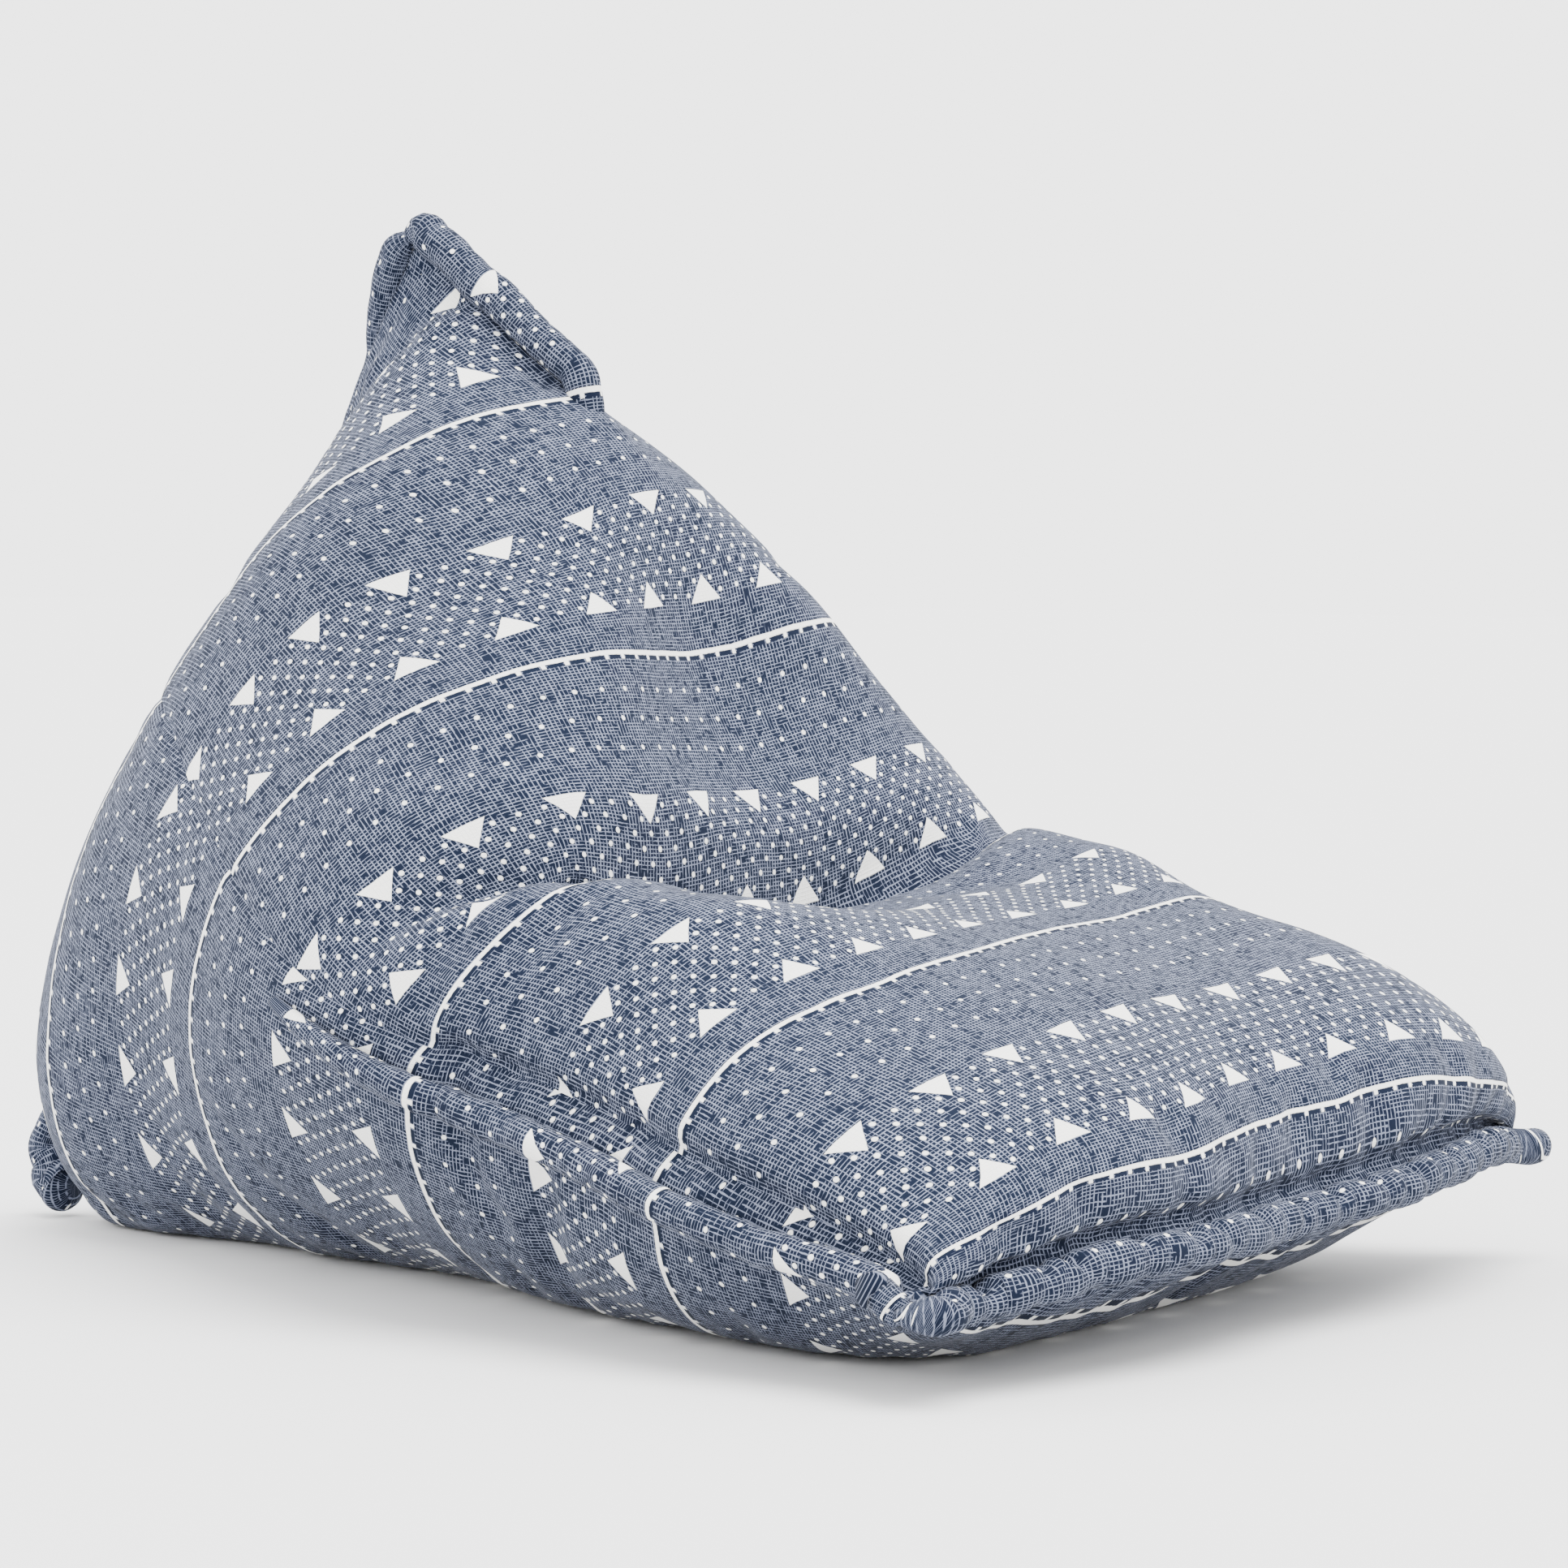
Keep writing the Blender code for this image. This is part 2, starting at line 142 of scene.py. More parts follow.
# Behind the gathers the lower panel's pattern lies this much further back, up to this far.
UNDER_SLACK = 0.004
UNDER_SLACK_TO_V = 0.290

# The deep fold between seat and backrest, from one side seam to the other. Each row is the place across
# and along the cloth, and the depth.
FOLD = (
    (-0.425, 0.640, 0.002),
    (-0.370, 0.628, 0.014),
    (-0.300, 0.604, 0.027),
    (-0.200, 0.578, 0.038),
    (0.000, 0.556, 0.044),
    (0.130, 0.552, 0.030),
    (0.210, 0.550, 0.010),
    (0.300, 0.565, 0.004),
    (0.425, 0.600, 0.001),
)
FOLD_SEAT_SIDE = 0.015
FOLD_BACK_SIDE = 0.034
FOLD_DEEPEST = 0.040
FOLD_SEAT_LIP = 0.007
FOLD_BACK_LIP = 0.008
FOLD_SEAT_LIP_OFF = 0.050
FOLD_BACK_LIP_OFF = 0.090
FOLD_LIP_REACH = 0.032
FOLD_EDGE = 1.4
FOLD_WANDER = 0.004
FOLD_WANDER_TURNS = 31.0

# Tucks where the front edge is gathered: place across the seam, reach along it, depth in the roll.
TUCKS = (
    (-0.388, 0.005, 0.0025),
    (-0.348, 0.007, 0.0060),
    (-0.300, 0.005, 0.0030),
    (-0.262, 0.006, 0.0045),
    (-0.205, 0.005, 0.0030),
    (-0.158, 0.006, 0.0042),
    (-0.118, 0.005, 0.0028),
    (-0.060, 0.006, 0.0040),
    (-0.012, 0.005, 0.0030),
    (0.040, 0.006, 0.0042),
    (0.098, 0.005, 0.0030),
    (0.150, 0.006, 0.0040),
    (0.196, 0.005, 0.0028),
    (0.255, 0.006, 0.0045),
    (0.302, 0.005, 0.0030),
    (0.352, 0.006, 0.0038),
    (0.392, 0.005, 0.0026),
)
TUCK_PULL = 0.038
UNDER_TUCK_PULL = 0.090
UNDER_PULL_SHARE = 1.5
PULL_SHARE = 0.9
PULL_WIDTH = 1.2
PULL_WIDENS_OVER = 0.05
PULL_BEND = 0.10
PULL_BEND_TURNS = 57.0
TUCK_LEAN = 0.006
TUCK_LEAN_TURNS = 91.0
TUCK_ROLL_SHARE = 1.5
TUCK_FAR_SHARE = 0.25
TUCK_DEEPEST_AT = -1.3
TUCK_TURN_REACH = 0.9

# Sewn grooves next to the rolls.
FRONT_GROOVE_V = 0.012
FRONT_GROOVE_HALF_WIDTH = 0.009
FRONT_GROOVE_DEPTH = 0.009
SIDE_GROOVE_HALF_WIDTH = 0.010
SIDE_GROOVE_DEPTH = 0.011
SIDE_GROOVE_BELOW = -0.002
SIDE_GROOVE_RISE = (0.02, 0.06)
SIDE_GROOVE_TO_V = 0.64
SIDE_GROOVE_FADE = 0.14
SIDE_LIP_HEIGHT = 0.005
SIDE_LIP_OFF = 0.030
SIDE_LIP_HALF_WIDTH = 0.014
PLAIN_SEAM_DEPTH = 0.0016
PLAIN_SEAM_HALF_WIDTH = 0.004
PLAIN_SEAM_RISE = (0.3, 0.4)
TOP_GROOVE_OFF = 0.015
TOP_GROOVE_HALF_WIDTH = 0.008
TOP_GROOVE_DEPTH = 0.005
TOP_GROOVE_RISE = (1.035, 1.065)
BACK_GROOVE_OFF = 0.012
BACK_GROOVE_HALF_WIDTH = 0.010
BACK_GROOVE_DEPTH = 0.003

# The peak is thin, so the top groove ends over this stretch and the lumps shrink to a share.
PEAK_RISE = (1.06, 1.12)
PEAK_LUMP_SHARE = 0.2

# Lumps of the filling, large and small. Nothing is raised or sunk on the floor, up to this height.
LUMP_SIZE = 0.16
SMALL_LUMP_SIZE = 0.05
SMALL_LUMP_SHARE = 0.35
LUMP_SEED_STEP = (3.7, 5.3, 7.1)
PANEL_BLEND = 0.01
FLAT_TO_Z = 0.03

# Cloth simulation: how finely it is stepped and how the cloth is held to its filling.
SIMULATION_FRAMES = 20
SEAM_HOLD = 1.0
FILLING_HOLD = 0.12
FLOOR_TOUCH = 0.002
CLOTH_SETTINGS = {
    "quality": 6, "mass": 0.25, "tension_stiffness": 18.0, "compression_stiffness": 18.0,
    "shear_stiffness": 6.0, "bending_stiffness": 0.6, "tension_damping": 12.0, "compression_damping": 12.0,
    "shear_damping": 8.0, "vertex_group_mass": "hold", "pin_stiffness": 1.0, "use_pressure": True}

# Wrinkles and uneven padding of a roll. Each row is the height, the length along the roll, how fast it
# changes round it, and the side of the noise that it is taken from.
WRINKLES = (
    (0.0012, 0.045, 0.7, 1.0),
    (0.0009, 0.011, 0.9, -1.0),
)
WRINKLE_SEED_STEP = (4.1, 2.3, 6.7)

# Rolled edges.
# The rolls' cloth is the bag's weave with its ground darkened by this factor: painted shade on the rolled
# edges.
EDGE_PAINTED_SHADE = 0.92
ROLL_RADIUS = 0.014
FRONT_ROLL_RADIUS = 0.0130
SIDE_ROLL_RADIUS = 0.012
ROLL_STEP = 0.0025
ROLL_AROUND = 28
ROLL_TIP_SHARE = 0.30
SEWN_IN = 0.88
SEAT_REACH = 0.06
SEAT_INSIDE = 0.010
SEAT_HALVINGS = 20
SEAM_SAMPLES = 80
FRONT_ROLL_OVERHANG = 0.002
FRONT_ROLL_WANDER = 0.0018
FRONT_ROLL_WANDER_LENGTH = 0.055
FRONT_ROLL_WANDER_SEED = 3.0
FRONT_ROLL_CROWN_V = -0.022
FRONT_END_TURN = 0.100
FRONT_END_RISE = (0.398, 0.430)
PUFF = 0.0012
PUFF_REACH = 0.012
SIDE_ROLL_COLUMNS_DOWN = 2
SIDE_ROLL_NEXT_SHARE = 0.4
SIDE_SLOPE_COLUMNS = 5
SIDE_ROLL_FROM_V = 0.032
SIDE_ROLL_DIP = 0.008
SIDE_ROLL_DIP_TO_V = 0.12
SIDE_ROLL_TO_V = 0.68
SIDE_ROLL_DROP_BY_V = 0.20
SIDE_ROLL_FADE = 0.16
SIDE_ROLL_END_RADIUS = 0.004
TOP_ROLL_TO_V = 1.012
TOP_ROLL_OVERHANG = 0.006
TOP_ROLL_FADE = 0.045
TOP_ROLL_END_RADIUS = 0.010
TOP_ROLL_SINK = 0.026
TOP_ROLL_CLOTH = (1.253, 1.07)
TOP_ROLL_CLOTH_SIDE = 0.005
BACK_ROLL_START = 0.007
BACK_ROLL_RADIUS = 0.0125
BACK_ROLL_LEAN = 0.016
BACK_LEAN_RISE_Z = (0.05, 0.12)
BACK_LEAN_FADE_Z = (0.64, 0.73)
FOOT_RADIUS = 0.023
FOOT_SEWN_IN = 0.45
FOOT_Y = 0.578
FOOT_Z = 0.0255
FOOT_TUCK = 0.034
FOOT_WIDENS_OVER = 0.072
FOOT_OUTWARD = (0.0, 1.0, -0.2)
ROLL_GAP = 0.0004

# The weave. Noise scales and thread breaks are counts a metre, all else is in metres or a share.
BEND_SCALE = 14.0
BEND_REACH = 0.004
WAVER_SCALE = 330.0
WAVER_REACH = 0.0006
EDGE_BLUR = 0.0003
BEHIND_FAR_ROW = 0.0144
TICK_OFF = 0.0016
TICK_HALF_LENGTH = 0.0019
TICK_HALF_WIDTH = 0.0017
DASH_OFF = 0.0030
CLEAR_OF_TRIANGLE = 0.0035
CLEAR_BLUR = 0.0006
DENSE_STEP = 0.0098
DENSE_AHEAD = 0.0035
DENSE_MARGIN = 0.002
SPARSE_STEP = 0.0235
SPARSE_MIDDLE = 0.0535
SPARSE_REACH = 0.030
SLUB_BREAKS = 75.0
SLUB_BREAK_STEP = 7.31
SLUB_END_BLUR = 0.05
SLUB_SWELLS = 160.0
SLUB_SWELL_STEP = 3.17
SLUB_THINNEST = 0.05
SLUB_WIDTH_SHARE = 0.205
SLUB_BLUR_SHARE = 0.05
PATCH_SCALE = 38.0
PATCH_LEAN = 0.3
WARP_GAPS = 0.37
WEFT_GAPS = 0.40
WEFT_SEED = 5.0
CLOTH_FINISH = {"Sheen Weight": 0.06, "Sheen Roughness": 0.35, "Specular IOR Level": 0.08}
LINE_RELIEF = 0.6
MOTIF_RELIEF = 0.8
FUZZ_RELIEF = 0.6
FUZZ_SCALE = 900.0
RELIEF_STRENGTH = 0.5
RELIEF_HEIGHT = 0.0006

# Floor, lights and camera.
FLOOR_SIZE = 40.0
FLOOR_Z = -0.0005
FLOOR_ROUGHNESS = 0.9
LIGHT_TARGET = (0.0, 0.0, 0.3)
KEY_PLACE = (0.1, -0.9, 3.0)
KEY_SPREAD = 50.0
RIM_PLACE = (-2.2, 2.4, 1.6)
RIM_SIZE = 1.6
SENSOR_WIDTH = 36.0
CLIP_START = 0.05
CLIP_END = 100.0


class PoufCloth(PropertyGroup):
    """Sizes and colours of the woven cloth."""
    repeat: FloatProperty(name="Stripe repeat", description="Distance between two stripes", default=0.24,
                          unit="LENGTH")
    first_stripe: FloatProperty(name="First stripe", description="Distance of a stripe from the front seam",
                                default=0.07, unit="LENGTH")
    stripe_width: FloatProperty(name="Stripe width", description="Width of the white stripe", default=0.0038,
                                unit="LENGTH")
    pitch: FloatProperty(name="Motif pitch", description="Distance between two triangles in a row",
                         default=0.070, unit="LENGTH")
    triangle_base: FloatProperty(name="Triangle base", description="Width of a triangle", default=0.0315,
                                 unit="LENGTH")
    triangle_height: FloatProperty(name="Triangle height", description="Height of a triangle", default=0.0200,
                                   unit="LENGTH")
    near_row: FloatProperty(name="Near triangles", description="Distance of the near row behind its stripe",
                            default=0.0456, unit="LENGTH")
    far_row: FloatProperty(name="Far triangles", description="Distance of the far row behind the stripe",
                           default=0.1176, unit="LENGTH")
    motif_shift: FloatProperty(name="Motif shift", description="Sideways place of the motifs on the cloth",
                               default=-0.054, unit="LENGTH")
    dot_radius: FloatProperty(name="Dot radius", description="Half the width of a woven dot", default=0.0019,
                              unit="LENGTH")
    warp_pitch: FloatProperty(name="Warp pitch", description="Distance between the slubs along the cloth",
                              default=0.0032, unit="LENGTH")
    weft_pitch: FloatProperty(name="Weft pitch", description="Distance between the slubs across the cloth",
                              default=0.0026, unit="LENGTH")
    indigo: FloatVectorProperty(name="Indigo", description="Dark ground of the weave", subtype="COLOR",
                                default=(0.0050, 0.0085, 0.0200))
    slub: FloatVectorProperty(name="Slub", description="Pale threads of the ground", subtype="COLOR",
                              default=(0.150, 0.168, 0.232))
    motif: FloatVectorProperty(name="Motif", description="Off-white of stripes, triangles and dots",
                               subtype="COLOR", default=(0.76, 0.755, 0.73))
    roughness: FloatProperty(name="Roughness", description="Roughness of the cloth", default=0.92,
                             min=0.0, max=1.0)


class PoufFilling(PropertyGroup):
    """How full and how slack the bag is."""
    pressure: FloatProperty(name="Pressure", description="Push of the filling on the cloth", default=4.0)
    slack: FloatProperty(name="Slack", description="Share by which the cloth is larger than its filling",
                         default=0.03, subtype="FACTOR")
    most_swell: FloatProperty(name="Most swell", description="The furthest that the cloth moves",
                              default=0.006, unit="LENGTH")
    lump_height: FloatProperty(name="Lump height", description="Height of the soft lumps of the filling",
                               default=0.0035, unit="LENGTH")
    fill: FloatProperty(name="Fill", description="From slack to tight", default=0.7, subtype="FACTOR")
    roll_fill: FloatProperty(name="Roll fill", description="Fill of the padded rolls", default=0.85,
                             subtype="FACTOR")


class PoufStage(PropertyGroup):
    """Camera, floor and light."""
    azimuth: FloatProperty(name="Azimuth", description="Camera's turn round the pouf in degrees",
                           default=-55.9)
    elevation: FloatProperty(name="Elevation", description="Camera's height in degrees", default=2.9)
    distance: FloatProperty(name="Distance", description="Camera's distance from its target", default=4.0,
                            unit="LENGTH")
    lens: FloatProperty(name="Lens", description="Focal length in millimetres", default=131.5)
    target: FloatVectorProperty(name="Target", description="Point that the camera looks at", subtype="XYZ",
                                default=(0.0, -0.126, 0.350))
    floor_colour: FloatVectorProperty(name="Floor colour", description="Pale floor", subtype="COLOR",
                                      default=(0.63, 0.63, 0.63))
    sky_strength: FloatProperty(name="Sky strength", description="Even light from all round", default=3.6)
    key_power: FloatProperty(name="Key power", description="Light from above, in watts a square metre",
                             default=7.0)
    rim_power: FloatProperty(name="Rim power", description="Power of the light behind on the left, in watts",
                             default=60.0)


class PoufSettings(PropertyGroup):
    """All settings of the pouf."""
    cloth: PointerProperty(type=PoufCloth)
    filling: PointerProperty(type=PoufFilling)
    stage: PointerProperty(type=PoufStage)


def spline(knots, values, places, level_start=False, level_end=False):
    """Cubic spline through values at knots; an end is natural, or level where asked."""
    knots = np.asarray(knots, float)
    values = np.asarray(values, float)
    count = len(knots)
    step = np.diff(knots)
    slope = np.diff(values, axis=0) / step[:, None]
    matrix = np.zeros((count, count))
    right = np.zeros_like(values)
    for i in range(1, count - 1):
        matrix[i, i - 1] = step[i - 1]
        matrix[i, i] = 2 * (step[i - 1] + step[i])
        matrix[i, i + 1] = step[i]
        right[i] = 6 * (slope[i] - slope[i - 1])
    matrix[0, 0] = matrix[-1, -1] = 1.0
    if level_start:
        matrix[0, :2] = 2 * step[0], step[0]
        right[0] = 6 * slope[0]
    if level_end:
        matrix[-1, -2:] = step[-1], 2 * step[-1]
        right[-1] = -6 * slope[-1]
    bend = np.linalg.solve(matrix, right)
    places = np.asarray(places, float)
    cell = np.clip(np.searchsorted(knots, places, side="right") - 1, 0, count - 2)
    width = step[cell][:, None]
    a = (knots[cell + 1] - places)[:, None] / width
    b = 1.0 - a
    return (a * values[cell] + b * values[cell + 1]
            + ((a ** 3 - a) * bend[cell] + (b ** 3 - b) * bend[cell + 1]) * width ** 2 / 6)


def rest_on_floor(height):
    """Heights under the floor become 0, with a soft bend next to it."""
    blend = (height + FLOOR_BLEND) ** 2 / (4 * FLOOR_BLEND)
    return np.where(height < -FLOOR_BLEND, 0.0, np.where(height > FLOOR_BLEND, height, blend))


def half_section(cloth_v, columns):
    """Left half of the bag's section at cloth_v, from top to base, in even steps between the seams."""
    row = spline([r[0] for r in SECTIONS], [r[1:] for r in SECTIONS], [cloth_v])[0]
    size = dict(zip(SECTION_COLUMNS[1:], row))
    x = np.array([0.0, -size["shoulder_x"], -size["side_x"], -size["hip_x"], 0.0])
    y = [size["top_y"], size["shoulder_y"], size["side_y"], size["hip_y"], size["base_y"]]
    z = [size["top_z"], size["shoulder_z"], size["side_z"], size["hip_z"], size["base_z"]]
    knots = np.arange(5)
    fine = np.linspace(0, knots[-1], SECTION_STEPS + 1)
    ridge = min(max((cloth_v - RIDGE_FROM_V) / (RIDGE_FULL_V - RIDGE_FROM_V), 0.0), 1.0)
    outline = np.column_stack([y, z])
    smooth = spline(knots, outline, fine, level_start=True, level_end=True)
    peaked = spline(knots, outline, fine, level_end=True)
    flat = smooth * (1 - ridge) + peaked * ridge
    curve = np.column_stack([spline(knots, x[:, None], fine)[:, 0], flat[:, 0], rest_on_floor(flat[:, 1])])
    curve[:, 0] = np.minimum(curve[:, 0], 0.0)
    curve[[0, -1], 0] = 0.0
    middle = len(fine) // 2
    over, under = even_points(curve[:middle + 1], columns), even_points(curve[middle:], columns)
    return np.concatenate([over[:-1], under])


def lengths_along(points):
    """Distance of each point from the first, along the line."""
    return np.concatenate([[0.0], np.cumsum(np.linalg.norm(np.diff(points, axis=0), axis=1))])


def at_lengths(points, length, wanted):
    """The line's points at the wanted distances."""
    return np.column_stack([np.interp(wanted, length, points[:, axis]) for axis in range(points.shape[1])])


def even_points(curve, count):
    """The curve again, with count even steps along its length."""
    length = lengths_along(curve)
    return at_lengths(curve, length, np.linspace(0.0, length[-1], count + 1))


def bag_rows():
    """Half sections from the front seam to the rear seam, in their place in the frame."""
    rows = np.array([half_section(v, QUARTER_COLUMNS) for v in ROW_V])
    rows[:, :, 1] += FRAME_SHIFT_Y
    return rows


def cloth_across(rows):
    """Distance across the cloth of each half-section point, from the middle of the upper or lower panel."""
    step = np.linalg.norm(np.diff(rows, axis=1), axis=2)
    upper = np.concatenate([np.zeros((len(rows), 1)), np.cumsum(step[:, :QUARTER_COLUMNS], axis=1)], axis=1)
    lower = np.cumsum(step[:, :QUARTER_COLUMNS - 1:-1], axis=1)[:, ::-1]
    return upper, np.concatenate([lower, np.zeros((len(rows), 1))], axis=1)


def settled(places):
    """Places moved by the uneven filling."""
    places = np.array(places, float)
    moved = np.zeros_like(places)
    for x, y, z, reach, move_x, move_y, move_z in SETTLING:
        near = np.exp(-((places - (x, y, z)) ** 2).sum(-1) / reach ** 2)
        moved += near[..., None] * (move_x, move_y, move_z)
    return places + moved


def drift(table, across, along):
    """How far the pattern is shifted along the cloth at a place of a panel."""
    return sum(shift * math.exp(-((across - u) ** 2 + (along - v) ** 2) / reach ** 2)
               for u, v, reach, shift in table)


def pattern_shift(across, along, is_upper):
    """How far a panel's pattern is shifted along it, by its gathers, its place at the seam and its drift."""
    if is_upper:
        taken = FRONT_TAKE_UP * (1.0 - ramp(along, 0.0, FRONT_TAKE_UP_TO_V))
        return taken + drift(UPPER_DRIFT, across, along)
    full = ramp(along, 0.0, UNDER_TAKE_UP_TO_V)
    slack = UNDER_SLACK * (1.0 - ramp(along, UNDER_TAKE_UP_TO_V, UNDER_SLACK_TO_V))
    taken = UNDER_TAKE_UP * (1.0 - full) - slack * full
    return taken + LOWER_PANEL_STEP + drift(LOWER_DRIFT, across, along)


def mesh_piece(name, vertices, faces, corners, material):
    """A piece with its cloth layout in metres; corners holds (across, along) for each face corner in turn."""
    mesh = bpy.data.meshes.new(name)
    mesh.from_pydata([tuple(v) for v in vertices], [], faces)
    layout = mesh.uv_layers.new(name="cloth")
    layout.uv.foreach_set("vector", np.asarray(corners, np.float32).ravel())
    mesh.shade_smooth()
    mesh.materials.append(material)
    piece = bpy.data.objects.new(name, mesh)
    bpy.context.scene.collection.objects.link(piece)
    return piece


def build_bag_mesh(material):
    """The loft through the sections, closed along both end seams."""
    rows = bag_rows()
    upper, lower = cloth_across(rows)
    half = rows.shape[1]
    vertices = settled(np.concatenate([rows, rows[:, -2:0:-1] * MIRROR], axis=1).reshape(-1, 3))

    def corner(row, column, is_upper):
        """Cloth layout of a ring's column, as seen from the upper or the lower panel."""
        column = column % AROUND
        left = column < half
        step = column if left else AROUND - column
        across = upper[row, step] if is_upper else lower[row, step - QUARTER_COLUMNS]
        across = -across if left else across
        return (across, ROW_V[row] + pattern_shift(across, ROW_V[row], is_upper))

    faces = []
    corners = []
    for i in range(ROWS):
        for k in range(AROUND):
            is_upper = k < QUARTER_COLUMNS or k >= AROUND - QUARTER_COLUMNS
            near = i * AROUND
            far = near + AROUND
            after = (k + 1) % AROUND
            faces.append((near + k, far + k, far + after, near + after))
            for row, column in ((i, k), (i + 1, k), (i + 1, k + 1), (i, k + 1)):
                corners.append(corner(row, column, is_upper))
    for turn in (1, -1):
        for k in range(QUARTER_COLUMNS):
            top = [turn * k % AROUND, turn * (k + 1) % AROUND]
            base = [turn * (half - 2 - k) % AROUND, turn * (half - 1 - k) % AROUND]
            ring = list(dict.fromkeys(top + base))
            faces.append(tuple(ring if turn == 1 else ring[::-1]))
            corners += [corner(0, column, column in top) for column in faces[-1]]
    last = ROWS * AROUND
    for k in range(half - 1):
        ring = list(dict.fromkeys([k, k + 1, (-k - 1) % AROUND, (-k) % AROUND]))
        faces.append(tuple(last + column for column in ring[::-1]))
        corners += [corner(ROWS, column, k < QUARTER_COLUMNS) for column in ring[::-1]]
    piece = mesh_piece("bag", vertices, faces, corners, material)
    below = np.concatenate([upper - upper[:, -1:], (lower[:, :1] - lower)[:, 1:]], axis=1)
    across = np.concatenate([-upper, -lower[:, 1:]], axis=1)
    for name, left, flip in (("across", across, -1.0), ("below_seam", below, 1.0)):
        store_values(piece, name, "POINT", np.concatenate([left, flip * left[:, -2:0:-1]], axis=1))
    store_values(piece, "along", "POINT", np.repeat(ROW_V, AROUND))
    edge_rows = [[i // AROUND for i in edge.vertices] for edge in piece.data.edges]
    creases = [END_SEAM_CREASE if ends in ([0, 0], [ROWS, ROWS]) else 0.0 for ends in edge_rows]
    store_values(piece, "crease_edge", "EDGE", creases)
    return piece


def store_values(piece, name, domain, values):
    """Keeps a named value on every point or edge of a piece."""
    made = piece.data.attributes.new(name, "FLOAT", domain)
    made.data.foreach_set("value", np.asarray(values, np.float32).ravel())


def values_of(items, key, size):
    """A named value of every item of a mesh, as rows of the given size."""
    values = np.empty(len(items) * size, np.float32)
    items.foreach_get(key, values)
    return values.reshape(-1, size).astype(float)


def point_values(piece, name):
    """A value that was kept on every point."""
    return values_of(piece.data.attributes[name].data, "value", 1)[:, 0]


def vertex_places(piece):
    """All vertex places of a piece."""
    return values_of(piece.data.vertices, "co", 3)


def set_vertex_places(piece, places):
    """Moves the piece's vertices to the given places."""
    piece.data.vertices.foreach_set("co", np.asarray(places, np.float32).ravel())
    piece.data.update()


def make_active(piece):
    """Selects the piece alone."""
    bpy.ops.object.select_all(action="DESELECT")
    piece.select_set(True)
    bpy.context.view_layer.objects.active = piece


def swell(piece, settings):
    """Cloth simulation: the filling presses on a slightly slack cloth that its seams and the floor hold."""
    rest = vertex_places(piece)
    hold = piece.vertex_groups.new(name="hold")
    row = np.arange(len(rest)) // AROUND
    held = (row <= 1) | (row >= ROWS - 1) | (rest[:, 2] < FLOOR_TOUCH)
    hold.add([int(i) for i in np.flatnonzero(held)], SEAM_HOLD, "REPLACE")
    hold.add([int(i) for i in np.flatnonzero(~held)], FILLING_HOLD, "REPLACE")
    cloth = piece.modifiers.new("Cloth", "CLOTH")
    for key, value in CLOTH_SETTINGS.items():
        setattr(cloth.settings, key, value)
    cloth.settings.shrink_min = -settings.slack
    cloth.settings.uniform_pressure_force = settings.pressure
    cloth.settings.effector_weights.gravity = 0.0
    cloth.collision_settings.use_collision = False
    cloth.point_cache.frame_start = 1
    cloth.point_cache.frame_end = SIMULATION_FRAMES
    scene = bpy.context.scene
    for step in range(1, SIMULATION_FRAMES + 1):
        scene.frame_set(step)
    make_active(piece)
    bpy.ops.object.modifier_apply(modifier=cloth.name)
    scene.frame_set(1)
    piece.vertex_groups.clear()
    moved = vertex_places(piece) - rest
    far = np.linalg.norm(moved, axis=1)
    share = np.minimum(1.0, settings.most_swell / np.maximum(far, 1e-9))
    places = rest + moved * share[:, None]
    places[:, 2] = np.maximum(places[:, 2], 0.0)
    set_vertex_places(piece, places)


def subdivide(piece):
    """One smooth subdivision, applied."""
    finer = piece.modifiers.new("Subdivision", "SUBSURF")
    finer.levels = 1
    finer.render_levels = 1
    finer.uv_smooth = "NONE"
    make_active(piece)
    bpy.ops.object.modifier_apply(modifier=finer.name)


def soft_line(distance, half_width):
    """Share from 1 on a line to 0 away from it."""
    return np.exp(-(distance / half_width) ** 2)


def ramp(value, start, end):
    """Smooth share from 0 at start to 1 at end."""
    share = np.clip((value - start) / (end - start), 0.0, 1.0)
    return share * share * (3 - 2 * share)


def lumps(places, size, seed):
    """Soft noise from -1 to 1 at each place, with lumps of about the given size."""
    offset = Vector([seed * step for step in LUMP_SEED_STEP])
    return np.array([noise.noise(Vector(p) / size + offset) for p in places])


def fold_height(across, along, upper):
    """The deep fold behind the seat, with the soft lips on both its sides."""
    places = [row[0] for row in FOLD]
    line = np.interp(across, places, [row[1] for row in FOLD])
    line = line + FOLD_WANDER * np.sin(across * FOLD_WANDER_TURNS)
    depth = np.interp(across, places, [row[2] for row in FOLD])
    off = along - line
    trough = -depth * np.exp(-(np.abs(off) / np.where(off < 0, FOLD_SEAT_SIDE, FOLD_BACK_SIDE)) ** FOLD_EDGE)
    lips = (FOLD_SEAT_LIP * soft_line(off + FOLD_SEAT_LIP_OFF, FOLD_LIP_REACH)
            + FOLD_BACK_LIP * soft_line(off - FOLD_BACK_LIP_OFF, FOLD_LIP_REACH))
    return (trough + lips * depth / FOLD_DEEPEST) * upper


def front_height(across, along, upper):
    """The sewn groove behind the front roll, and the short pulls that run from its tucks into the panels."""
    groove = -FRONT_GROOVE_DEPTH * soft_line(along - FRONT_GROOVE_V, FRONT_GROOVE_HALF_WIDTH)
    pulls = np.zeros_like(across)
    for place, reach, depth in TUCKS:
        bent = place + PULL_BEND * along * math.sin(place * PULL_BEND_TURNS)
        half_width = reach * (PULL_WIDTH + along / PULL_WIDENS_OVER)
        pulls -= PULL_SHARE * depth * soft_line(across - bent, half_width)
    return groove + pulls * (np.exp(-along / TUCK_PULL) * upper
                             + UNDER_PULL_SHARE * np.exp(-along / UNDER_TUCK_PULL) * (1.0 - upper))


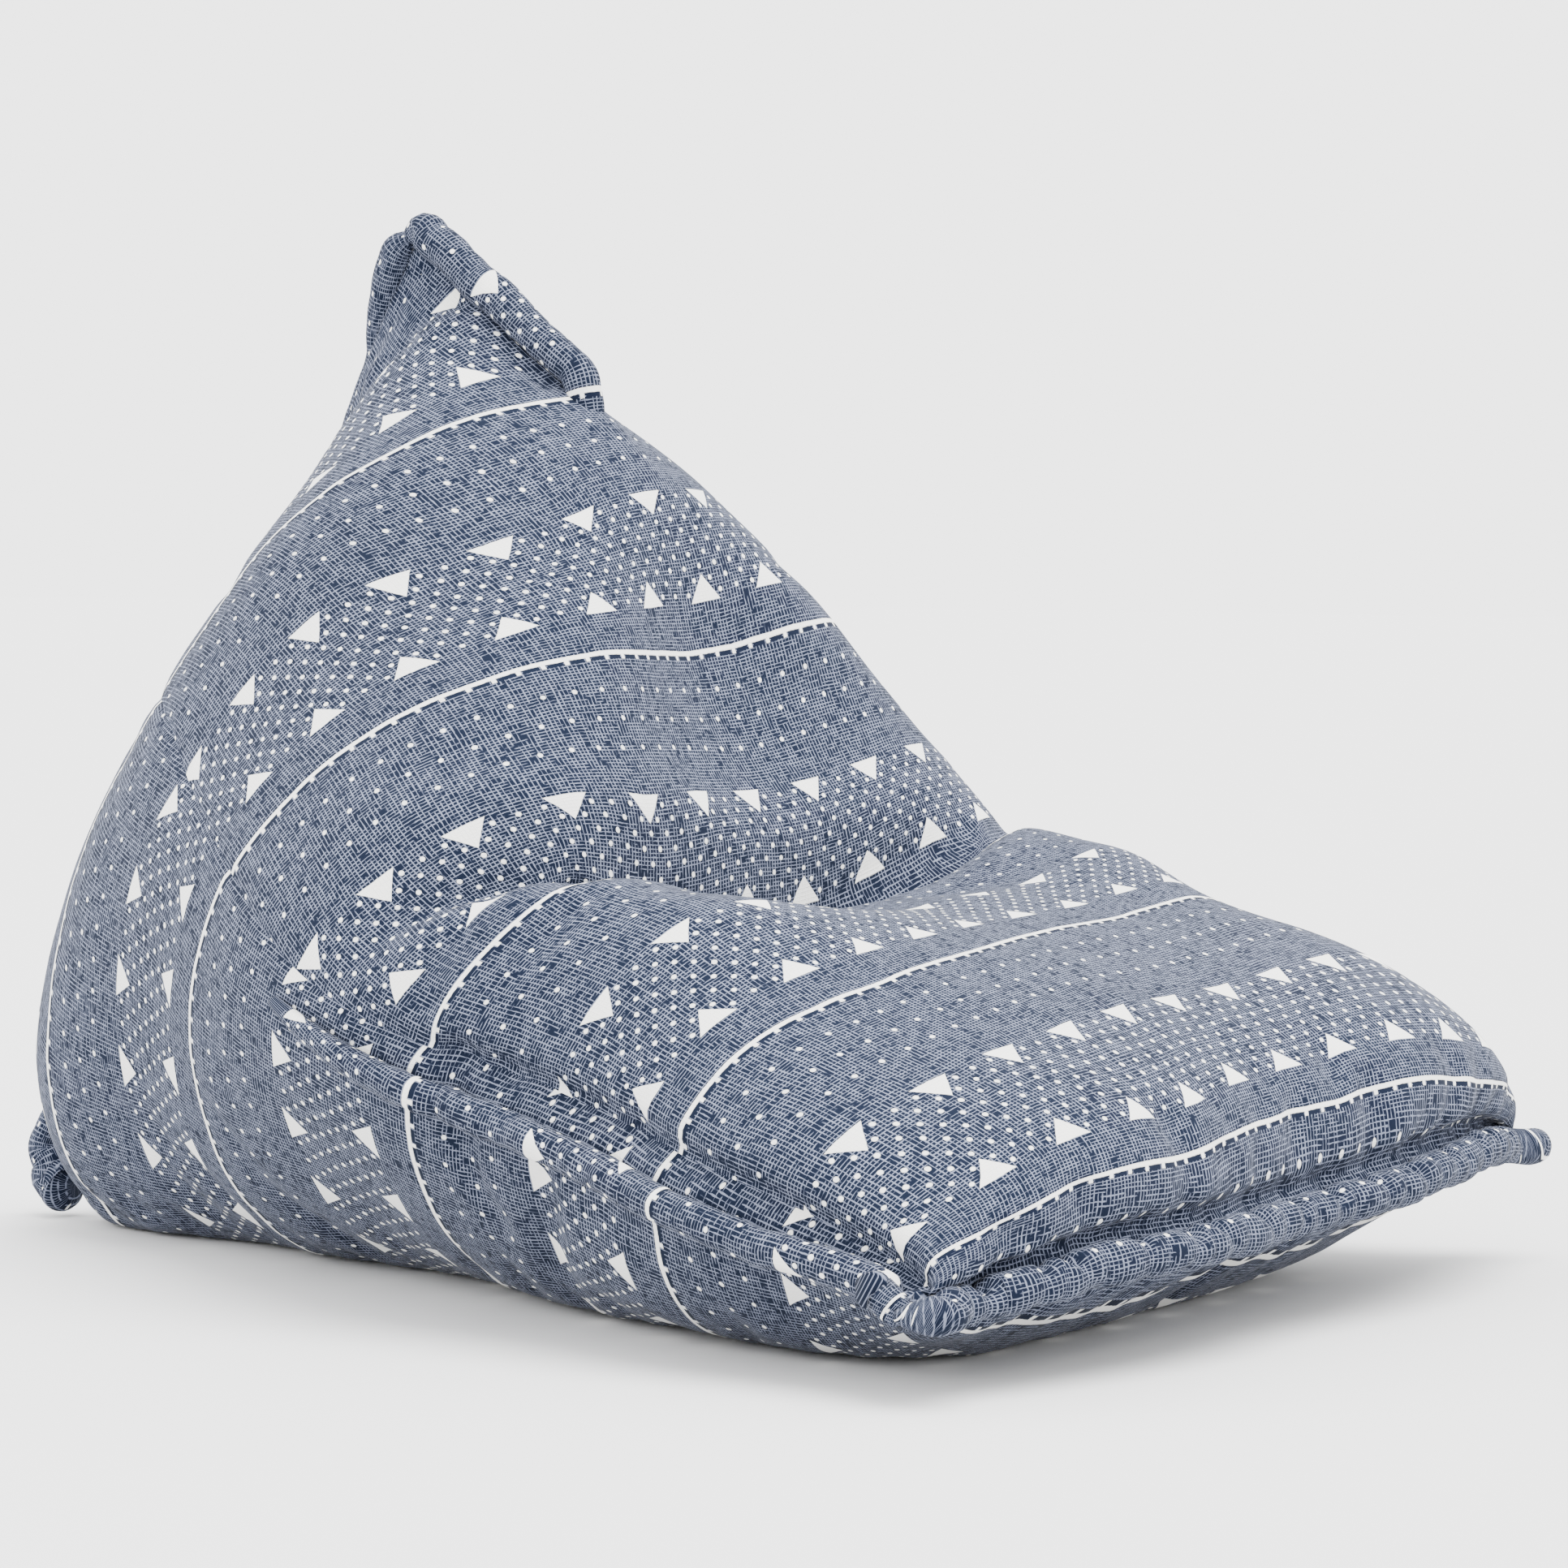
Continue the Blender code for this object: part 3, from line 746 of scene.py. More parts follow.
def side_height(along, below):
    """The groove above the side roll, the soft lip of the lower panel under it, and the plain seam behind."""
    roll = 1.0 - ramp(along, SIDE_GROOVE_TO_V - SIDE_GROOVE_FADE, SIDE_GROOVE_TO_V)
    roll = roll * ramp(along, *SIDE_GROOVE_RISE)
    groove = -SIDE_GROOVE_DEPTH * soft_line(below - SIDE_GROOVE_BELOW, SIDE_GROOVE_HALF_WIDTH) * roll
    lip = SIDE_LIP_HEIGHT * soft_line(below - SIDE_LIP_OFF, SIDE_LIP_HALF_WIDTH) * roll
    plain = -PLAIN_SEAM_DEPTH * soft_line(below, PLAIN_SEAM_HALF_WIDTH) * (1.0 - roll)
    return groove + lip + plain * ramp(along, *PLAIN_SEAM_RISE)


def rear_height(across, along, upper):
    """Grooves along the top roll and the back roll."""
    top = -TOP_GROOVE_DEPTH * soft_line(np.abs(across) - TOP_GROOVE_OFF, TOP_GROOVE_HALF_WIDTH)
    top = top * ramp(along, *TOP_GROOVE_RISE) * (1.0 - ramp(along, *PEAK_RISE)) * upper
    beside_roll = along - (CLOTH_LENGTH - BACK_GROOVE_OFF)
    return top - BACK_GROOVE_DEPTH * soft_line(beside_roll, BACK_GROOVE_HALF_WIDTH)


def shape_cloth(piece, settings):
    """Lumps of the filling, then the folds, grooves and pulls of the sewn cloth."""
    across = point_values(piece, "across")
    along = point_values(piece, "along")
    below = point_values(piece, "below_seam")
    upper = 1.0 - ramp(below, -PANEL_BLEND, PANEL_BLEND)
    lump_height = settings.lump_height * (1.0 - (1.0 - PEAK_LUMP_SHARE) * ramp(along, *PEAK_RISE))
    plain = vertex_places(piece)
    lumpy = lumps(plain, LUMP_SIZE, seed=1) + SMALL_LUMP_SHARE * lumps(plain, SMALL_LUMP_SIZE, seed=2)
    seams = front_height(across, along, upper) + side_height(along, below) + rear_height(across, along, upper)
    for height in (lump_height * lumpy, fold_height(across, along, upper), seams):
        places = vertex_places(piece)
        off_floor = ramp(places[:, 2], 0.0, FLAT_TO_Z)
        places += values_of(piece.data.vertex_normals, "vector", 3) * (height * off_floor)[:, None]
        places[:, 2] = np.maximum(places[:, 2], 0.0)
        set_vertex_places(piece, places)


def bag_for_rolls():
    """The bag's half sections, and a search tree of its finished surface."""
    bag = bpy.data.objects["bag"].data
    return bag_rows(), BVHTree.FromPolygons([v.co for v in bag.vertices], [p.vertices for p in bag.polygons])


def seat_on_bag(points, outward, radii, tree):
    """Moves each point along its outward direction until its roll lies against the bag."""
    seated = []
    for point, direction, radius in zip(points, outward, radii):
        direction = Vector(direction).normalized()
        low = -SEAT_INSIDE
        high = SEAT_REACH
        for _ in range(SEAT_HALVINGS):
            middle = (low + high) / 2
            distance = tree.find_nearest(Vector(point) + direction * middle)[3]
            if distance < radius + ROLL_GAP:
                low = middle
            else:
                high = middle
        seated.append(Vector(point) + direction * high)
    return np.array(seated)


def even_path(points, step):
    """A path again, with even steps of about the given length."""
    points = np.asarray(points, float)
    length = lengths_along(points)
    wanted = np.linspace(0.0, length[-1], max(int(round(length[-1] / step)), 2) + 1)
    return at_lengths(points, length, wanted), wanted


def rounded_ends(along, radius, far_end=True):
    """Radii that close like a dome within one radius of the start, and of the far end where asked."""
    radii = np.full(len(along), radius)
    for distance in (along, along[-1] - along)[:1 + far_end]:
        inside = np.clip(1.0 - distance / radius, 0.0, 1.0)
        radii = radii * np.sqrt(np.clip(1.0 - inside ** 2, ROLL_TIP_SHARE ** 2, 1.0))
    return radii


def fading_radii(along, radius, end_radius, fade_over, far_end=True):
    """Radii of a roll that thins towards its far end."""
    fade = np.clip((along[-1] - along) / fade_over, 0.0, 1.0)
    full = end_radius + (radius - end_radius) * np.sin(fade * math.pi / 2)
    return rounded_ends(along, radius, far_end) * full / radius


def square_to(path, side):
    """Directions square to a path in the middle plane, up (1) or down (-1) from one that runs forward."""
    run = np.gradient(path, axis=0)
    return side * np.column_stack([np.zeros(len(run)), run[:, 2], -run[:, 1]])


def smoothed(points, rounds):
    """The line again with its small kinks taken out."""
    points = np.array(points, float)
    for _ in range(rounds):
        points[1:-1] = points[1:-1] * 0.5 + (points[:-2] + points[2:]) * 0.25
    return points


def wrinkles(along, turn, seed):
    """Uneven padding of a roll and the fine wrinkles that run round it: change of radius at each point."""
    offset = Vector([seed * step for step in WRINKLE_SEED_STEP])
    change = np.empty((len(along), len(turn)))
    for i, run in enumerate(along):
        for k, angle in enumerate(turn):
            round_it = Vector((0.0, math.cos(angle), math.sin(angle)))
            change[i, k] = sum(
                height * noise.noise(Vector((run / length, 0.0, 0.0)) + round_it * pace + offset * side)
                for height, length, pace, side in WRINKLES)
    return change


def gathers(across, turn):
    """Tucks and puffs of the gathered front roll: change of radius at each point."""
    places = np.array([row[0] for row in TUCKS])
    change = np.zeros((len(across), len(turn)))
    nearest = np.full(change.shape, 1.0)
    for place, reach, depth in TUCKS:
        lean = TUCK_LEAN * math.sin(place * TUCK_LEAN_TURNS)
        off = across[:, None] - place - lean * turn[None, :]
        around = TUCK_FAR_SHARE + (1.0 - TUCK_FAR_SHARE) * soft_line(turn - TUCK_DEEPEST_AT, TUCK_TURN_REACH)
        change -= TUCK_ROLL_SHARE * depth * soft_line(off, reach) * around[None, :]
        nearest = np.minimum(nearest, np.abs(off))
    between = (across > places[0]) & (across < places[-1])
    return change + PUFF * (1.0 - soft_line(nearest, PUFF_REACH)) * between[:, None]


def front_roll_cloth(across, turn):
    """Distance along the cloth on the front roll, which runs back into the stripe at its turned-in ends."""
    return FRONT_ROLL_CROWN_V - turn + FRONT_END_TURN * ramp(abs(across), *FRONT_END_RISE)


def build_roll(name, centres, radii, outward, layout, relief, material):
    """A padded roll along the centres, closed at both tips.

    outward points away from the bag. layout is called with the distance along the roll and the distance
    round it from the crown, and returns the place on the cloth, across and along it. relief is called with
    the distances along the roll and the angles round it, and returns how much further out each point lies.
    """
    run = np.gradient(centres, axis=0)
    run /= np.linalg.norm(run, axis=1)[:, None]
    out = np.asarray(outward, float)
    out = out - run * (out * run).sum(1)[:, None]
    out /= np.linalg.norm(out, axis=1)[:, None]
    side = np.cross(run, out)
    along = lengths_along(centres)
    turn = np.linspace(-math.pi, math.pi, ROLL_AROUND + 1)
    full = radii[:, None] + relief(along, turn[:-1]) * (radii / np.max(radii))[:, None]
    rings = (centres[:, None, :] + out[:, None, :] * (np.cos(turn)[None, :-1] * full)[..., None]
             + side[:, None, :] * (np.sin(turn)[None, :-1] * full)[..., None])
    vertices = list(rings.reshape(-1, 3)) + [centres[0], centres[-1]]
    faces = []
    corners = []
    reach = turn * np.max(radii)
    for i in range(len(centres) - 1):
        for k in range(ROLL_AROUND):
            after = (k + 1) % ROLL_AROUND
            near = i * ROLL_AROUND
            far = near + ROLL_AROUND
            faces.append((near + k, near + after, far + after, far + k))
            corners += [layout(along[i], reach[k]), layout(along[i], reach[k + 1]),
                        layout(along[i + 1], reach[k + 1]), layout(along[i + 1], reach[k])]
    first = len(vertices) - 2
    last = (len(centres) - 1) * ROLL_AROUND
    for k in range(ROLL_AROUND):
        after = (k + 1) % ROLL_AROUND
        faces.append((first, after, k))
        corners += [layout(along[0], 0.0), layout(along[0], reach[k + 1]), layout(along[0], reach[k])]
        faces.append((first + 1, last + k, last + after))
        corners += [layout(along[-1], 0.0), layout(along[-1], reach[k]), layout(along[-1], reach[k + 1])]
    piece = mesh_piece(name, vertices, faces, corners, material)
    make_active(piece)
    bpy.ops.object.mode_set(mode="EDIT")
    bpy.ops.mesh.select_all(action="SELECT")
    bpy.ops.mesh.normals_make_consistent(inside=False)
    bpy.ops.object.mode_set(mode="OBJECT")
    return piece


def declare(piece, nodes, fill):
    """Hides the piece's CAD nodes and attaches the piece to the root body."""
    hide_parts(*nodes)
    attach(piece, "root")


class Weave:
    """Builds the node tree of the cloth, one small step at a time."""

    def __init__(self, tree):
        self.tree = tree

    def node(self, kind, **values):
        """A node with its properties set."""
        made = self.tree.nodes.new(kind)
        for key, value in values.items():
            setattr(made, key, value)
        return made

    def put(self, socket, value):
        """Links a socket, or sets the number on it."""
        if isinstance(value, bpy.types.NodeSocket):
            self.tree.links.new(value, socket)
        else:
            socket.default_value = value

    def math(self, operation, *values):
        """One Math node."""
        made = self.node("ShaderNodeMath", operation=operation)
        for socket, value in zip(made.inputs, values):
            self.put(socket, value)
        return made.outputs[0]

    def add(self, a, b):
        """Sum of two values."""
        return self.math("ADD", a, b)

    def less(self, a, b):
        """First value less the second."""
        return self.math("SUBTRACT", a, b)

    def times(self, a, b):
        """Product of two values."""
        return self.math("MULTIPLY", a, b)

    def most(self, a, b):
        """Larger of two values."""
        return self.math("MAXIMUM", a, b)

    def least(self, a, b):
        """Smaller of two values."""
        return self.math("MINIMUM", a, b)

    def inside(self, distance, edge, blur=EDGE_BLUR):
        """1 where distance is under edge, 0 beyond, with a soft edge."""
        made = self.node("ShaderNodeMapRange", clamp=True, interpolation_type="LINEAR")
        self.put(made.inputs["Value"], self.less(edge, distance))
        made.inputs["From Min"].default_value = -blur
        made.inputs["From Max"].default_value = blur
        return made.outputs[0]

    def folded(self, value, pitch, shift=0.0):
        """Distance from the nearest of evenly spaced lines, with its sign."""
        moved = self.less(value, shift) if shift else value
        return self.math("WRAP", moved, pitch / 2, -pitch / 2)

    def grain(self, vector, scale, detail):
        """Noise from 0 to 1 in two dimensions, as a value and as a colour."""
        made = self.node("ShaderNodeTexNoise", noise_dimensions="2D")
        self.put(made.inputs["Vector"], vector)
        made.inputs["Scale"].default_value = scale
        made.inputs["Detail"].default_value = detail
        made.inputs["Roughness"].default_value = 0.5
        return made.outputs

    def pair(self, x, y):
        """A vector from two values."""
        made = self.node("ShaderNodeCombineXYZ")
        self.put(made.inputs[0], x)
        self.put(made.inputs[1], y)
        return made.outputs[0]

    def pulled(self, vector, noise_colour, reach):
        """A place, pulled about by noise."""
        centred = self.node("ShaderNodeVectorMath", operation="SUBTRACT")
        self.put(centred.inputs[0], noise_colour)
        centred.inputs[1].default_value = (0.5, 0.5, 0.5)
        made = self.node("ShaderNodeVectorMath", operation="MULTIPLY_ADD")
        self.put(made.inputs[0], centred.outputs[0])
        made.inputs[1].default_value = (reach, reach, 0.0)
        self.put(made.inputs[2], vector)
        return made.outputs[0]

    def blend(self, share, a, b):
        """Mix of two colours."""
        made = self.node("ShaderNodeMix", data_type="RGBA")
        self.put(made.inputs[0], share)
        for socket, value in ((made.inputs[6], a), (made.inputs[7], b)):
            self.put(socket, value if isinstance(value, bpy.types.NodeSocket) else (*value, 1.0))
        return made.outputs[2]


def dot_rows(weave, across, along, pitch, row_step, first, radius):
    """Rows of dots, every other one shifted by half a pitch: 1 inside a dot."""
    row = weave.math("ROUND", weave.math("DIVIDE", weave.less(along, first), row_step))
    beside = weave.less(along, weave.add(weave.times(row, row_step), first))
    stagger = weave.times(weave.math("MODULO", weave.math("ABSOLUTE", row), 2.0), pitch / 2)
    off = weave.folded(weave.less(across, stagger), pitch)
    distance = weave.math("SQRT", weave.add(weave.times(off, off), weave.times(beside, beside)))
    return weave.inside(distance, radius)


def triangle_row(weave, across, along, centre, shift, cloth, point_back):
    """A row of triangles: their distance field, under 0 inside."""
    off = weave.math("ABSOLUTE", weave.folded(across, cloth.pitch, shift))
    rise = weave.less(along, centre)
    if not point_back:
        rise = weave.times(rise, -1.0)
    half_width = weave.times(weave.less(0.5, weave.math("DIVIDE", rise, cloth.triangle_height)),
                             cloth.triangle_base / 2)
    return weave.most(weave.less(off, half_width),
                      weave.less(weave.math("ABSOLUTE", rise), cloth.triangle_height / 2))


def slub_lines(weave, across, along, pitch, seed, gaps):
    """Pale thread lines that run in the direction `along`, broken up more the larger gaps is."""
    thread = weave.math("FLOOR", weave.math("DIVIDE", across, pitch))
    off = weave.math("ABSOLUTE", weave.folded(weave.less(across, pitch / 2), pitch))
    there, width = (
        weave.grain(weave.pair(weave.times(along, pace), weave.times(thread, step + seed)), 1.0, detail)[0]
        for pace, step, detail in ((SLUB_BREAKS, SLUB_BREAK_STEP, 1.0), (SLUB_SWELLS, SLUB_SWELL_STEP, 0.0)))
    half_width = weave.times(weave.add(width, SLUB_THINNEST), pitch * SLUB_WIDTH_SHARE)
    line = weave.inside(off, half_width, pitch * SLUB_BLUR_SHARE)
    return weave.times(line, weave.inside(weave.less(gaps, there), 0.0, SLUB_END_BLUR))


def printed_motifs(weave, across, phase, cloth):
    """The white print, 1 inside a stripe, tick, triangle or dot, and the dark dashes between the ticks."""
    stripe = weave.inside(weave.math("ABSOLUTE", phase), cloth.stripe_width / 2)
    tick_off = weave.math("ABSOLUTE", weave.folded(across, cloth.pitch / 4, cloth.motif_shift))
    ahead = weave.math("ABSOLUTE", weave.add(phase, cloth.stripe_width / 2 + TICK_OFF))
    tick_band = weave.inside(ahead, TICK_HALF_LENGTH)
    tick = weave.times(tick_band, weave.inside(tick_off, TICK_HALF_WIDTH))
    dash = weave.times(tick_band, weave.inside(weave.less(DASH_OFF, tick_off), 0.0))

    near = triangle_row(weave, across, phase, cloth.near_row, cloth.motif_shift, cloth, True)
    far = triangle_row(weave, across, phase, cloth.far_row, cloth.motif_shift + cloth.pitch / 2, cloth, False)
    both = weave.least(near, far)
    triangles = weave.inside(both, 0.0)
    clear = weave.inside(weave.less(CLEAR_OF_TRIANGLE, both), 0.0, CLEAR_BLUR)

    beside = weave.less(across, cloth.motif_shift)
    middle = (cloth.near_row + cloth.far_row) / 2
    reach = (cloth.far_row - cloth.near_row) / 2 + cloth.triangle_height / 2 - DENSE_MARGIN
    dense = dot_rows(weave, beside, phase, cloth.pitch / 4, DENSE_STEP, cloth.near_row - DENSE_AHEAD,
                     cloth.dot_radius)
    dense = weave.times(weave.times(dense, clear),
                        weave.inside(weave.math("ABSOLUTE", weave.less(phase, middle)), reach))
    sparse = dot_rows(weave, beside, phase, cloth.pitch / 3, SPARSE_STEP, -SPARSE_MIDDLE, cloth.dot_radius)
    off_middle = weave.math("ABSOLUTE", weave.add(phase, SPARSE_MIDDLE))
    sparse = weave.times(sparse, weave.inside(off_middle, SPARSE_REACH))
    print_only = weave.most(weave.most(stripe, tick), weave.most(triangles, weave.most(dense, sparse)))
    return weave.least(print_only, 1.0), dash


def make_cloth(name, cloth, painted_shade):
    """The printed slub weave; the shade factor darkens the piece's ground a little, which paints shade on it.
    """
    material = bpy.data.materials.new(name)
    material.use_nodes = True
    shader = material.node_tree.nodes["Principled BSDF"]
    weave = Weave(material.node_tree)
    layout = weave.node("ShaderNodeUVMap", uv_map="cloth").outputs[0]
    place = weave.pulled(layout, weave.grain(layout, BEND_SCALE, 2.0)[1], BEND_REACH)
    place = weave.pulled(place, weave.grain(layout, WAVER_SCALE, 1.0)[1], WAVER_REACH)
    split = weave.node("ShaderNodeSeparateXYZ")
    weave.put(split.inputs[0], place)
    across, along = split.outputs[0], split.outputs[1]
    group_end = cloth.far_row + BEHIND_FAR_ROW
    phase = weave.math("WRAP", weave.less(along, cloth.first_stripe), group_end, group_end - cloth.repeat)
    motif, dash = printed_motifs(weave, across, phase, cloth)

    patch = weave.grain(layout, PATCH_SCALE, 1.0)[0]
    lean = weave.times(weave.less(patch, 0.5), PATCH_LEAN)
    warp = slub_lines(weave, across, along, cloth.warp_pitch, 0.0, weave.add(WARP_GAPS, lean))
    weft = slub_lines(weave, along, across, cloth.weft_pitch, WEFT_SEED, weave.less(WEFT_GAPS, lean))
    lines = weave.times(weave.most(warp, weft), weave.less(1.0, dash))
    # The ground colours are multiplied by the shade factor, which paints shade on the piece where it is under
    # 1.
    ground = weave.blend(lines, [c * painted_shade for c in cloth.indigo], [c * painted_shade for c in cloth.slub])
    weave.put(shader.inputs["Base Color"], weave.blend(motif, ground, list(cloth.motif)))
    shader.inputs["Roughness"].default_value = cloth.roughness
    for key, value in CLOTH_FINISH.items():
        shader.inputs[key].default_value = value

    height = weave.add(weave.times(lines, LINE_RELIEF), weave.times(motif, MOTIF_RELIEF))
    height = weave.add(height, weave.times(weave.grain(layout, FUZZ_SCALE, 2.0)[0], FUZZ_RELIEF))
    bump = weave.node("ShaderNodeBump")
    bump.inputs["Strength"].default_value = RELIEF_STRENGTH
    bump.inputs["Distance"].default_value = RELIEF_HEIGHT
    weave.put(bump.inputs["Height"], height)
    weave.put(shader.inputs["Normal"], bump.outputs[0])
    return material


def material_named(name, painted_shade):
    """The named cloth, made once."""
    return bpy.data.materials.get(name) or make_cloth(name, bpy.context.scene.pouf.cloth, painted_shade)


def sew_on(name, node, centres, radii, outward, layout, relief):
    """A roll in its cloth, attached to the root body in place of its CAD node, which is hidden."""
    # The rolls get a darker copy of the bag's weave: painted shade on the rolled edges.
    cloth = material_named("edge_weave_painted_shade", EDGE_PAINTED_SHADE)
    piece = build_roll(name, centres, radii, outward, layout, relief, cloth)
    declare(piece, [node], bpy.context.scene.pouf.filling.roll_fill)


class POUF_OT_bag(Operator):
    """Loft, swell and wrinkle the filled bag"""
    bl_idname = "pouf.bag"
    bl_label = "Bag"

    def execute(self, context):
        filling = context.scene.pouf.filling
        piece = build_bag_mesh(material_named("cover_weave", 1.0))
        swell(piece, filling)
        subdivide(piece)
        shape_cloth(piece, filling)
        declare(piece, ["bag_body"], filling.fill)
        return {"FINISHED"}


class POUF_OT_front_roll(Operator):
    """Build the padded roll along the front seam"""
    bl_idname = "pouf.front_roll"
    bl_label = "Front roll"

    def execute(self, context):
        rows, tree = bag_for_rolls()
        left = (rows[0, :QUARTER_COLUMNS + 1] + rows[0, :QUARTER_COLUMNS - 1:-1]) / 2
        seam = np.concatenate([left[::-1], left[1:] * MIRROR])
        tip = (seam[0] - seam[1]) / np.linalg.norm(seam[0] - seam[1]) * FRONT_ROLL_OVERHANG
        seam = np.concatenate([[seam[0] + tip], seam, [seam[-1] + tip * MIRROR]])
        path, along = even_path(settled(seam), ROLL_STEP)
        radii = rounded_ends(along, FRONT_ROLL_RADIUS)
        outward = np.tile([0.0, -1.0, 0.0], (len(path), 1))
        half = along[-1] / 2
        wander = [Vector((run / FRONT_ROLL_WANDER_LENGTH, 0.0, FRONT_ROLL_WANDER_SEED)) for run in along]
        path[:, 2] += FRONT_ROLL_WANDER * np.array([noise.noise(place) for place in wander])
        centres = smoothed(seat_on_bag(path, outward, radii * SEWN_IN, tree), rounds=3)
        sew_on("front_roll", "front_rolled_edge", centres, radii, outward,
               lambda run, turn: (run - half, front_roll_cloth(run - half, turn)),
               lambda run, turn: gathers(run - half, turn) + wrinkles(run, turn, seed=1))
        return {"FINISHED"}


class POUF_OT_side_rolls(Operator):
    """Build the padded rolls along the two side seams"""
    bl_idname = "pouf.side_rolls"
    bl_label = "Side rolls"

    def execute(self, context):
        rows, tree = bag_for_rolls()
        upper = cloth_across(rows)[0][:, QUARTER_COLUMNS]
        wanted = np.linspace(SIDE_ROLL_FROM_V, SIDE_ROLL_TO_V, SEAM_SAMPLES)
        drop = np.clip((ROW_V - SIDE_ROLL_FROM_V) / (SIDE_ROLL_DROP_BY_V - SIDE_ROLL_FROM_V), 0.0, 1.0)
        drop = drop[:, None]
        column = QUARTER_COLUMNS + SIDE_ROLL_COLUMNS_DOWN
        share = SIDE_ROLL_NEXT_SHARE
        lower_line = rows[:, column] * (1.0 - share) + rows[:, column + 1] * share
        line = rows[:, QUARTER_COLUMNS] * (1 - drop) + lower_line * drop
        line[:, 2] -= SIDE_ROLL_DIP * (1.0 - ramp(ROW_V, SIDE_ROLL_FROM_V, SIDE_ROLL_DIP_TO_V))
        slope = rows[:, QUARTER_COLUMNS - SIDE_SLOPE_COLUMNS] - rows[:, QUARTER_COLUMNS + SIDE_SLOPE_COLUMNS]
        seam = at_lengths(line, ROW_V, wanted)
        normal = np.cross(at_lengths(slope, ROW_V, wanted), np.gradient(seam, axis=0))
        normal *= np.where(normal[:, :1] > 0, -1.0, 1.0)
        length = lengths_along(seam)
        path, along = even_path(seam, ROLL_STEP)
        outward = at_lengths(normal, length, along)
        radii = fading_radii(along, SIDE_ROLL_RADIUS, SIDE_ROLL_END_RADIUS, SIDE_ROLL_FADE, far_end=False)
        cloth_v = np.interp(along, length, wanted)
        cloth_u = np.interp(cloth_v, ROW_V, upper)
        for side, mirror in (("left", 1.0), ("right", -1.0)):
            flip = np.array([mirror, 1.0, 1.0])
            seated = seat_on_bag(settled(path * flip), outward * flip, radii * SEWN_IN, tree)
            centres = smoothed(seated, rounds=2)

            def layout(run, turn):
                """Cloth of a side roll: along its seam, and round it from its crown."""
                return (-mirror * np.interp(run, along, cloth_u) + turn, np.interp(run, along, cloth_v))

            sew_on(f"{side}_roll", f"{side}_rolled_edge", centres, radii, outward * flip, layout,
                   lambda run, turn: wrinkles(run, turn, seed=3 + mirror))
        return {"FINISHED"}


class POUF_OT_back_rolls(Operator):
    """Build the padded rolls over the peak and down the rear seam"""
    bl_idname = "pouf.back_rolls"
    bl_label = "Top and back rolls"

    def execute(self, context):
        rows, tree = bag_for_rolls()
        self.top(rows, tree)
        self.back(rows, tree)
        return {"FINISHED"}

    def top(self, rows, tree):
        """Over the peak and forward along the top fold."""
        seam = at_lengths(rows[:, 0], ROW_V, np.linspace(CLOTH_LENGTH, TOP_ROLL_TO_V, SEAM_SAMPLES))
        behind = (seam[0] - seam[-1]) / np.linalg.norm(seam[0] - seam[-1]) * TOP_ROLL_OVERHANG
        path, along = even_path(settled(np.concatenate([[seam[0] + behind], seam])), ROLL_STEP)
        outward = square_to(path, 1.0)
        radii = fading_radii(along, ROLL_RADIUS, TOP_ROLL_END_RADIUS, TOP_ROLL_FADE)
        centres = smoothed(seat_on_bag(path, outward, radii * SEWN_IN, tree), rounds=2)
        inward = outward / np.linalg.norm(outward, axis=1)[:, None]
        centres -= inward * (TOP_ROLL_SINK * (1.0 - ramp(along[-1] - along, 0.0, TOP_ROLL_FADE)))[:, None]
        start_v, pace = TOP_ROLL_CLOTH
        sew_on("top_roll", "top_rolled_edge", centres, radii, outward,
               lambda run, turn: (-turn - TOP_ROLL_CLOTH_SIDE, start_v - pace * run),
               lambda run, turn: wrinkles(run, turn, seed=6))

    def back(self, rows, tree):
        """Down the rear seam from the peak, its foot turned in under the rear corner."""
        seam = rows[-1] * np.array([0.0, 1.0, 1.0])
        path, along = even_path(settled(seam), ROLL_STEP)
        path = path[along >= BACK_ROLL_START]
        lean = (1.0 - ramp(path[:, 2], *BACK_LEAN_FADE_Z)) * ramp(path[:, 2], *BACK_LEAN_RISE_Z)
        path[:, 0] += BACK_ROLL_LEAN * lean
        radii = np.full(len(path), BACK_ROLL_RADIUS)
        centres = seat_on_bag(path, square_to(path, -1.0), radii * SEWN_IN, tree)
        foot = [
            (0.0, FOOT_Y + FRAME_SHIFT_Y, FOOT_Z),
            (0.0, FOOT_Y - FOOT_TUCK + FRAME_SHIFT_Y, FOOT_RADIUS + ROLL_GAP)]
        drop = centres[centres[:, 2] > FOOT_Z + FOOT_RADIUS]
        path, along = even_path(np.concatenate([drop, foot]), ROLL_STEP)
        widen = np.clip(1.0 - (along[-1] - along) / FOOT_WIDENS_OVER, 0.0, 1.0)
        radii = rounded_ends(along, BACK_ROLL_RADIUS) * (1.0 + widen * (FOOT_RADIUS / BACK_ROLL_RADIUS - 1.0))
        sewn_in = SEWN_IN + (FOOT_SEWN_IN - SEWN_IN) * widen
        away = np.tile(FOOT_OUTWARD, (len(path), 1))
        centres = smoothed(seat_on_bag(path, away, radii * sewn_in, tree), rounds=2)
        sew_on("back_roll", "back_rolled_edge", centres, radii, square_to(path, -1.0),
               lambda run, turn: (run, CLOTH_LENGTH + turn), lambda run, turn: wrinkles(run, turn, seed=8))


